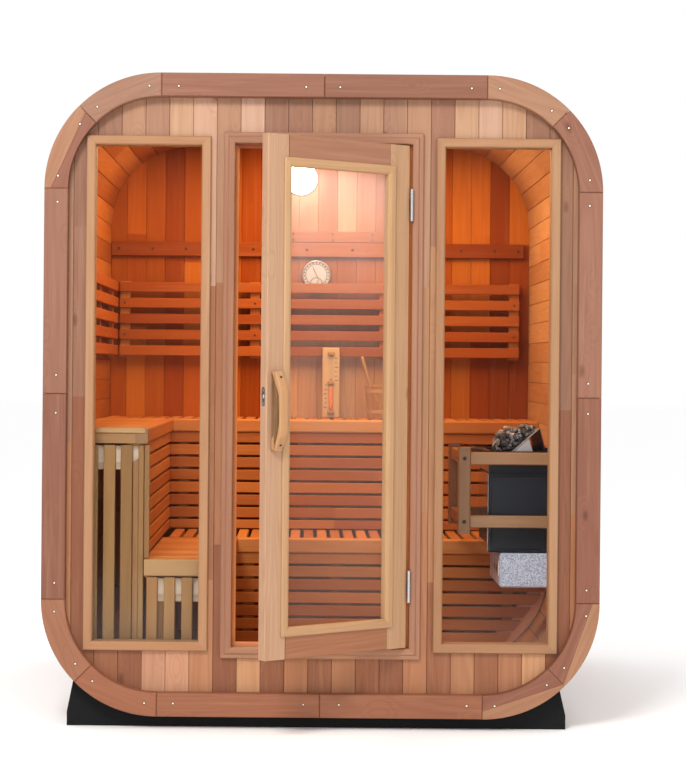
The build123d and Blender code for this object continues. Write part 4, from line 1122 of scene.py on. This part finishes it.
# The rail's two end lengths take the darker rail tones: painted shade.
thirds(m, rect(1746, 1767.7, 1619, 1677, 2.0), -849, 828, RAIL, REST_MID)
stick(m, rect(1750, 1767.7, 1678.5, 1723, 2.0), -200, 300, along_x, pick(m.rng, REST_MID, 0.04))
for x in (-820, -683, -547, -410, -273, -55, 131, 300, 437, 574, 711, 806):
    screw(m, x, 1648, 1746, P, 5.4, 1, (0.03, 0.02, 0.02), 0.2)
for x in (-110, 50, 210):
    screw(m, x, 1712, 1750, P, 3.8)
    screw(m, x, 1688, 1750, P, 3.8)
m.make("back_wall_rail", [M_SEAT, M_DARK], "cabin", "bench_wood", ["wall_rail"])

# ---------------------------------------------------------------- fittings on the back wall

m = Mesh(111)
on_wall = lambda cx, cz: (lambda a, b, h: P(cx + a, 1767.8 - h, cz + b))
lathe(m, [(66, 0), (66, 6), (65.4, 7.6), (63, 8), (62, 7)], on_wall(-80, 1938), 48, (0.8, 0.8, 0.8), 1)
lathe(m, [(65.2, 7.2), (65.0, 12), (62.5, 21), (56, 31), (44, 39.5), (28, 44), (11, 45.6), (0.01, 45.8)], on_wall(-80, 1938), 48, (1, 1, 1), 0)
m.make("round_lamp", [M_LAMP, M_STEEL], "cabin", "lamp_glass", ["wall_lamp"])

m = Mesh(112)
face = on_wall(-15, 1547)
lathe(m, [(60, 0), (60, 17), (59, 21), (56.6, 23.6), (54.3, 23.8), (52.4, 22), (52, 19.6)], face, 56, (0.6, 0.6, 0.6), 0)
lathe(m, [(52, 18.5), (52, 19.8), (0.01, 19.8)], face, 56, (0.7, 0.7, 0.66), 1, False)


def mark(x0, x1, z0, z1, t, h0=19.8, h1=20.3, mat=2):
    """A flat mark on the dial, turned by t about its middle."""
    c, s = math.cos(t), math.sin(t)
    q = [(x0, z0), (x1, z0), (x1, z1), (x0, z1)]
    vs = [face(a * c - b * s, a * s + b * c, h) for h in (h0, h1) for a, b in q]
    m.add(vs, [[3, 2, 1, 0], [4, 5, 6, 7], [0, 1, 5, 4], [1, 2, 6, 5], [2, 3, 7, 6], [3, 0, 4, 7]], (0.02, 0.02, 0.02), None, mat)


for k in range(19):
    t = math.radians(-144 + 16 * k)
    mark(-2.4, 2.4, 45.8, 51, t)
lathe(m, [(43.6, 19.8), (43.6, 20.3), (41.6, 20.3), (41.6, 19.8)], face, 56, (0.02, 0.02, 0.02), 2, False, False)
mark(-1.0, 1.0, -8, 34, math.radians(26), 20.6, 21.2)
# second scale: a small arch with its own marks and hand, low on the face
for k in range(15):
    t = math.radians(-84 + 12 * k)
    tn = math.radians(-84 + 12 * (k + 1))
    for r0, r1, a0, a1 in ((22.5, 24.5, t, tn),) + (((25, 29, t - 0.03, t + 0.03),) if k % 2 == 0 else ()):
        q = [(r0, a0), (r0, a1), (r1, a1), (r1, a0)]
        vs = [face(r * math.sin(u), r * math.cos(u) - 36, h) for h in (19.8, 20.3) for r, u in q]
        m.add(vs, [[3, 2, 1, 0], [4, 5, 6, 7], [0, 1, 5, 4], [1, 2, 6, 5], [2, 3, 7, 6], [3, 0, 4, 7]], (0.02, 0.02, 0.02), None, 2)
vs = [face(a, b - 36, h) for h in (20.6, 21.2) for a, b in ((-0.9, -2), (0.9, -2), (10.4, 17), (9.0, 17.6))]
m.add(vs, [[3, 2, 1, 0], [4, 5, 6, 7], [0, 1, 5, 4], [1, 2, 6, 5], [2, 3, 7, 6], [3, 0, 4, 7]], (0.02, 0.02, 0.02), None, 2)
lathe(m, [(2.6, 19.8), (2.6, 22.4), (1.8, 23.0), (0.01, 23.0)], face, 16, (0.5, 0.5, 0.5), 0)
m.make("dial", [M_TRAY, M_DIAL, M_GREY_INK], "cabin", "gauge_rim", ["dial_gauge"])

m = Mesh(113)
block(m, 12, 82, 1688.2, 1706, 966.2, 1250, 3.0, lin((250, 222, 182)), 0, P, "z")
for z0, z1, mat in ((997, 1101, 3), (1115, 1219, 3)):
    prof = [(1.2, z0), (8.2, z0 + 9), (9.0, z0 + 26), (9.0, z1 - 26), (8.2, z1 - 9), (1.2, z1)]
    lathe(m, prof, lambda a, b, h: P(47 + a, 1684 + b, h), 20, (0.9, 0.9, 0.9), mat)
lathe(m, [(6.4, 998.5), (8.0, 1008), (8.5, 1028), (8.5, 1070), (8.0, 1086), (5.0, 1094), (0.01, 1097)], lambda a, b, h: P(47 + a, 1684 + b, h), 20, (0.7, 0.2, 0.05), 2)
lathe(m, [(0.4, 1117), (3.0, 1121), (4.6, 1124), (0.01, 1123)], lambda a, b, h: P(47 + a, 1684 + b, h), 20, (0.7, 0.2, 0.05), 2)
for z in (990, 1108, 1226):
    block(m, 34, 60, 1673.2, 1688.2, z - 7, z + 7, 2.0, lin((214, 172, 124)), 0, P, "x")
for k in range(12):
    z = 1009 + 18.0 * k
    w = 13 if k % 3 == 0 else 8
    if z > 1108:
        block(m, 63, 63 + w, 1687.8, 1688.6, z - 1.3, z + 1.3, 0.1, (0.03, 0.02, 0.02), 1)
    else:
        block(m, 31 - w, 31, 1687.8, 1688.6, z - 1.3, z + 1.3, 0.1, (0.03, 0.02, 0.02), 1)
m.make("sand_glass", [M_PALE, M_INK, M_SAND, M_TUBE], "cabin", "fitting_wood", ["sand_timer"])

m = Mesh(114)
BX, BY, BZ = 280.0, 1600.0, 966.2
N = 18
for k in range(N):
    t0, t1 = 2 * math.pi * (k + 0.015) / N, 2 * math.pi * (k + 0.985) / N
    off = m.offset()
    vs, gs = [], []
    for z, ro, ri in ((0, 87.6, 77), (0.02, 87.9, 77), (131, 99.6, 89.8), (133.6, 98.6, 90.8)):
        for t in (t0, t0 * 0.5 + t1 * 0.5, t1):
            for r in (ro if t not in (t0, t1) else ro - 0.8, ri):
                vs.append(P(BX + r * math.cos(t), BY + r * math.sin(t), BZ + z))
                gs.append((z / 1000 + off[0], r * t / 1000 + off[1], r / 1000 + off[2]))
    fs = []
    for q in range(3):
        o, p = q * 6, q * 6 + 6
        fs += [[o, o + 2, p + 2, p], [o + 2, o + 4, p + 4, p + 2], [o + 1, p + 1, p + 3, o + 3], [o + 3, p + 3, p + 5, o + 5], [o, p, p + 1, o + 1], [o + 4, o + 5, p + 5, p + 4]]
    fs += [[0, 1, 3, 2], [2, 3, 5, 4], [18, 20, 21, 19], [20, 22, 23, 21]]
    m.add(vs, fs, pick(m.rng, [(226, 184, 138), (216, 170, 122), (232, 194, 150)], 0.04), gs)
lathe(m, [(80, 3), (80, 12), (0.01, 12)], lambda a, b, h: P(BX + a, BY + b, BZ + h), 36, lin((206, 160, 112)), 0, False)
for z in (22, 104):
    r = 87.9 + 11.7 * z / 131
    lathe(m, [(r - 0.4, z), (r + 0.35, z + 0.4), (r + 1.3, z + 13.6), (r + 0.8, z + 14)], lambda a, b, h: P(BX + a, BY + b, BZ + h), 48, lin((236, 200, 158)), 0, False, False)
m.make("water_bucket", [M_PALE, M_STEEL], "cabin", "fitting_wood", ["bucket"])

m = Mesh(115)
a, b = Vector((230, 1600, 1010)), Vector((169, 1600, 1215))
ax = (b - a).normalized()
e1 = Vector((0, 1, 0))
e2 = ax.cross(e1)
L = (b - a).length
stem = lambda u, v, h: P(*(a + ax * h + e1 * u + e2 * v))
lathe(m, [(3.5, 0), (5.2, 6), (5.0, 60), (5.6, 120), (6.8, 175), (6.9, L - 10), (5.5, L - 3), (2.5, L), (0.01, L)], stem, 16, lin((228, 190, 146)), 0)
lathe(m, [(0.01, -19.5), (10, -17.3), (17, -10.5), (19.8, -1), (19.2, 4), (18, 4), (16.5, -8), (8, -15), (0.01, -16.5)], lambda u, v, h: P(230 + u, 1600 + v, 1006 + h), 24, lin((210, 164, 116)), 0)
m.make("water_ladle", [M_PALE], "cabin", "fitting_wood", ["ladle"])

# ---------------------------------------------------------------- heater and guard

m = Mesh(121)
# folded shell, stone tray with a turned-out rim, polished face, louvres, wall brackets
block(m, 579.8, 836, 464, 846, 538, 812, 3, (0.03, 0.03, 0.04), 0)
block(m, 590, 828, 460.2, 464.5, 548, 800, 2, (0.03, 0.03, 0.04), 0)
rim = [(0, 884), (1.5, 886), (11, 886), (12, 884), (12, 818), (9, 814), (4, 812), (2, 820), (2, 870)]
for part in range(4):
    if part < 2:
        yy = (lambda u: 460 + u) if part == 0 else (lambda u: 850 - u)
        stick(m, rim, lambda u, v: 578 + u, lambda u, v: 840 - u, lambda s, u, v: P(s, yy(u), v), (0.03, 0.03, 0.04))
    else:
        xx = (lambda u: 578 + u) if part == 2 else (lambda u: 840 - u)
        stick(m, rim, lambda u, v: 460 + u, lambda u, v: 850 - u, lambda s, u, v: P(xx(u), s, v), (0.03, 0.03, 0.04), 1 if part == 2 else 0)
block(m, 578.2, 580.2, 470, 840, 542, 808, 0.6, (0.6, 0.6, 0.6), 1)
stick(m, [(579.5, 880.5), (580.5, 885.5), (566, 889.2), (550, 893.6), (537, 897.6), (535.2, 897.2), (535.4, 894.4), (552, 888.6)], 460.5, 849.5, along_y, (0.05, 0.05, 0.05), 2)
stick(m, [(655.5, 881.5), (658.5, 881.5), (752.2, 963.4), (753.8, 965.4), (751.2, 965.6)], 462.3, 847.7, along_y, (0.6, 0.6, 0.6), 3)
stick(m, [(752.4, 963.2), (774.8, 881.5), (777.4, 881.5), (754.8, 965.5), (753.9, 965.6)], 462.3, 847.7, along_y, (0.16, 0.09, 0.07), 0)
sheet = [(663, 882), (733.4, 882), (718, 930.4), (714, 927)]
plate(m, sheet, eased(sheet, 0.5), lambda a, b, d: P(a, 468.2 + d, b), 7.6, 0.5, (0.7, 0.7, 0.7), (0, 1), 3)
for k in range(9):
    y = 520 + 34 * k
    block(m, 577.2, 579, y - 5, y + 5, 566, 640, 0.6, (0.02, 0.02, 0.02), 2)
block(m, 582, 836, 464, 846, 812, 818, 1, (0.02, 0.02, 0.02), 2)
for y in (520, 750):
    block(m, 836, 851.6, y, y + 40, 566, 826, 2, (0.03, 0.03, 0.04), 0)
for z in (560, 790):
    for x in (604, 814):
        screw(m, x, z, 460.2, P, 4.0, 2, (0.03, 0.03, 0.03), 1.2)
m.make("heater_shell", [M_ENAMEL, M_MIRROR, M_DARK, M_TRAY], "cabin", "heater_steel", ["heater_body"])

m = Mesh(122)
rng = m.rng
spots = []
for y in range(500, 826, 34):
    for x in range(612, 822, 36):
        spots.append((x + rng.uniform(-6, 6), y + rng.uniform(-6, 6), 850 + rng.uniform(-5, 5), rng.uniform(20, 26), False))
TOP = [(592, 906), (608, 942), (637, 963), (674, 963), (712, 979), (750, 979)]


def heap_top(x):
    for (xa, za), (xb, zb) in zip(TOP, TOP[1:]):
        if x <= xb:
            return za + (zb - za) * max(0.0, (x - xa) / (xb - xa))
    return TOP[-1][1]


def drawn_in(y):
    """How much narrower the heap is at that depth."""
    return 30.0 * (y - 481) / 348


def sheet_at(x):
    return 884.5 + max(0.0, x - 653) * 0.867


for y in range(492, 832, 21):
    for x in range(600, 750, 19):
        low, high = max(876.0, sheet_at(x)), heap_top(x - drawn_in(y))
        z = low + 8
        while z < high - 2:
            spots.append((x + rng.uniform(-6, 6), y + rng.uniform(-7, 7), z + rng.uniform(-3, 3), rng.uniform(9, 19), True))
            z += 22
for i, (x, y, z, r, heaped) in enumerate(spots):
    # a broken stone: the hull of a few points strewn over an ellipsoid
    turn = Matrix.Rotation(rng.uniform(0, 6.28), 3, "Z") @ Matrix.Rotation(rng.uniform(-1.2, 1.2), 3, "X") @ Matrix.Rotation(rng.uniform(-1.2, 1.2), 3, "Y")
    sx, sy, sz = rng.uniform(1.05, 1.5), rng.uniform(0.7, 1.0), rng.uniform(0.45, 0.8)
    bm = bmesh.new()
    for q in range(10):
        h = -1 + 2 * (q + 0.5) / 10
        t = q * 2.39996 + rng.uniform(-0.6, 0.6)
        c = math.sqrt(1 - h * h)
        p = turn @ Vector((c * math.cos(t) * sx, c * math.sin(t) * sy, h * sz)) * r * rng.uniform(0.8, 1.1)
        bm.verts.new((x + p.x, y + p.y, z + p.z))
    bmesh.ops.convex_hull(bm, input=bm.verts)
    bmesh.ops.delete(bm, geom=[v for v in bm.verts if not v.link_faces], context="VERTS")
    bm.verts.index_update()
    vs = []
    for v in bm.verts:
        py = min(max(v.co.y, 481 if heaped else 474), 829 if heaped else 836)
        px, pz = min(max(v.co.x, 592.5 + (drawn_in(py) if heaped else 0.0)), 748 if heaped else 826), max(v.co.z, 818)
        pz = min(max(pz, sheet_at(px) + 2 if heaped and px > 653 else 818), heap_top(px - drawn_in(py)) if heaped else 879)
        vs.append(P(px, py, pz))
    fs = [[v.index for v in f.verts] for f in bm.faces]
    bm.free()
    g = rng.choice((0.025, 0.04, 0.07, 0.12, 0.2, 0.3))
    m.add(vs, fs, (g * 1.04, g * 0.95, g * 1.06), None, 0, False)
m.make("stone_heap", [M_ROCK], "cabin", "heater_rock", ["heater_stones"])

m = Mesh(123)
block(m, 621, 840, 464, 848, 416, 534.8, 5, (0.5, 0.5, 0.5), 0)
block(m, 619.4, 622, 480, 832, 428, 522, 1.2, (0.5, 0.5, 0.5), 0)
side_on = lambda y0, z0: (lambda a, b, h: P(619.4 - h, y0 + a, z0 + b))
for y in (560, 640):
    lathe(m, [(19, 0), (19, 0.25), (17.5, 0.35), (0.01, 0.35)], side_on(y, 474), 28, (0.5, 0.5, 0.5), 2)
    lathe(m, [(13, 0), (13, 0.2), (12, 0.38), (0.01, 0.38)], side_on(y, 474), 24, (0.1, 0.1, 0.1), 1)
    for k in range(11):
        t = math.radians(-135 + 27 * k)
        q = side_on(y + 22.5 * math.sin(t), 474 + 22.5 * math.cos(t))
        lathe(m, [(1.0, 0), (1.0, 0.2), (0.01, 0.2)], q, 6, (0.05, 0.05, 0.05), 1, False)
# Painted highlight: a thin glowing strip standing in for the gleam along a knob's edge.
block(m, 619.05, 619.9, 482, 490, 455, 505, 0.1, (1, 1, 1), 3)
for y in (492, 820):
    for z in (438, 512):
        lathe(m, [(3.4, -1), (3.4, 0.2), (2.4, 0.35), (0.01, 0.3)], side_on(y, z), 10, (0.4, 0.4, 0.4), 2, False)
m.make("control_box", [M_SPECK, M_INK, M_STEEL, M_PAINTED_HIGHLIGHT], "cabin", "speckled_paint", ["heater_control_box"])

# Near post and rails in the guard palette, far post and side rails in its darker copy: painted shade.
m = Mesh(124)
for y in (388, 850):
    stick(m, rect(470, 512, y, y + 42, 4.0), 606, 900, along_z, pick(m.rng, GUARD if y < 500 else SHADED_GUARD, 0.05))
for z0, z1 in ((627, 668), (842, 884)):
    for y in (396, 860):
        stick(m, rect(y, y + 24, z0, z1, 2.5), 512.2, 851.7, along_x, pick(m.rng, GUARD if y < 500 else SHADED_GUARD, 0.05))
    stick(m, rect(478, 502, z0, z1, 2.5), 430.2, 849.8, along_y, pick(m.rng, SHADED_GUARD, 0.05))
    zc = (z0 + z1) / 2
    lathe(m, [(6.5, -1), (6.5, 1.2), (5, 2.4), (2.6, 2.4), (2.4, 0.8), (0.01, 0.8)], lambda a, b, h: P(491 + a, 388 - h, zc + b), 14, (0.05, 0.05, 0.05), 1, False)
    for y in (409, 871):
        lathe(m, [(6.5, -1), (6.5, 0.5), (5, 1.2), (0.01, 1.2)], lambda a, b, h: P(470 - h, y + a, zc + b), 14, (0.05, 0.05, 0.05), 1, False)
m.make("guard_rails", [M_FINE, M_DARK], "cabin", "bench_wood", ["heater_guard"])

# ---------------------------------------------------------------- floor, light, camera

me = bpy.data.meshes.new("studio_floor")
me.from_pydata([(-40, -40, -0.0005), (40, -40, -0.0005), (40, 60, -0.0005), (-40, 60, -0.0005)], [], [[0, 1, 2, 3]])
floor = bpy.data.objects.new("studio_floor", me)
bpy.context.scene.collection.objects.link(floor)
w = Nodes("pale_floor")
co = w.new("ShaderNodeTexCoord").outputs["Object"]
n = w.noise(co, 2.0, 4, 0.5)
c = w.mix("MULTIPLY", w.span(n, 0.3, 0.7, 0.0, 0.08), (0.985, 0.985, 0.985), (0.97, 0.97, 0.97))
b = w.principled(Roughness=0.8, Specular_IOR_Level=0.2)
w.link(c, b.inputs["Base Color"])
me.materials.append(w.mat)

scene = bpy.context.scene
world = bpy.data.worlds.new("studio")
scene.world = world
world.use_nodes = True
bg = world.node_tree.nodes["Background"]
bg.inputs["Color"].default_value = (1.0, 1.0, 1.0, 1)
bg.inputs["Strength"].default_value = 1.0


def area(name, at, to, size, watts, colour=(1, 1, 1), size_y=None):
    l = bpy.data.lights.new(name, "AREA")
    l.energy = watts
    l.color = colour
    l.size = size
    if size_y:
        l.shape = "RECTANGLE"
        l.size_y = size_y
    o = bpy.data.objects.new(name, l)
    scene.collection.objects.link(o)
    o.location = at
    o.rotation_euler = (Vector(to) - Vector(at)).to_track_quat("-Z", "Y").to_euler()
    return o


area("key", (-1.4, -5.2, 4.7), (0, 0, 1.0), 1.4, 235, (1.0, 0.98, 0.95))
area("fill", (2.6, -6.2, 0.9), (0, -0.6, 0.7), 2.0, 46, (1.0, 0.98, 0.96))
area("front_fill", (-0.9, -6.6, 1.5), (0.2, -0.2, 0.6), 1.6, 30, (1.0, 0.98, 0.96))
area("rim_light", (0, 3.5, 5.0), (0, 0, 1.5), 4.0, 60)
warm = (1.0, 0.58, 0.24)
area("ceiling_glow", (0.0, 0.2, 2.03), (0.0, 0.25, 0.0), 1.3, 33, warm, 1.1)


def bulb(name, at, watts, colour, radius):
    l = bpy.data.lights.new(name, "POINT")
    l.energy = watts
    l.color = colour
    l.shadow_soft_size = radius
    o = bpy.data.objects.new(name, l)
    scene.collection.objects.link(o)
    o.location = at
    return o


bulb("lamp_bulb", P(-80, 1660, 1938), 1.3, (1.0, 0.83, 0.82), 0.05)
spot = bpy.data.lights.new("wall_glow", "SPOT")
spot.energy = 14
spot.color = (0.9, 0.95, 1.0)
spot.spot_size = math.radians(42)
spot.spot_blend = 0.8
spot.shadow_soft_size = 0.12
wash = bpy.data.objects.new("wall_glow", spot)
scene.collection.objects.link(wash)
wash.location = P(95, 1130, 1960)
wash.rotation_euler = (Vector(P(85, 1768, 1880)) - wash.location).to_track_quat("-Z", "Y").to_euler()

cam = bpy.data.cameras.new("camera")
cam.sensor_width = 36.0
cam.lens = 2050 / 761 * 36.0
cam.shift_x = 35.0 / 761
cam.shift_y = -12.5 / 761
cam.clip_end = 100
camera = bpy.data.objects.new("camera", cam)
scene.collection.objects.link(camera)
camera.location = (-0.046, -7.36, 1.167)
camera.rotation_euler = (math.radians(90), math.radians(-0.5), 0)
scene.camera = camera
scene.view_settings.view_transform = "Standard"
scene.view_settings.look = "None"
scene.cycles.max_bounces = 8
scene.cycles.transparent_max_bounces = 16
scene.cycles.caustics_reflective = False
scene.cycles.caustics_refractive = False
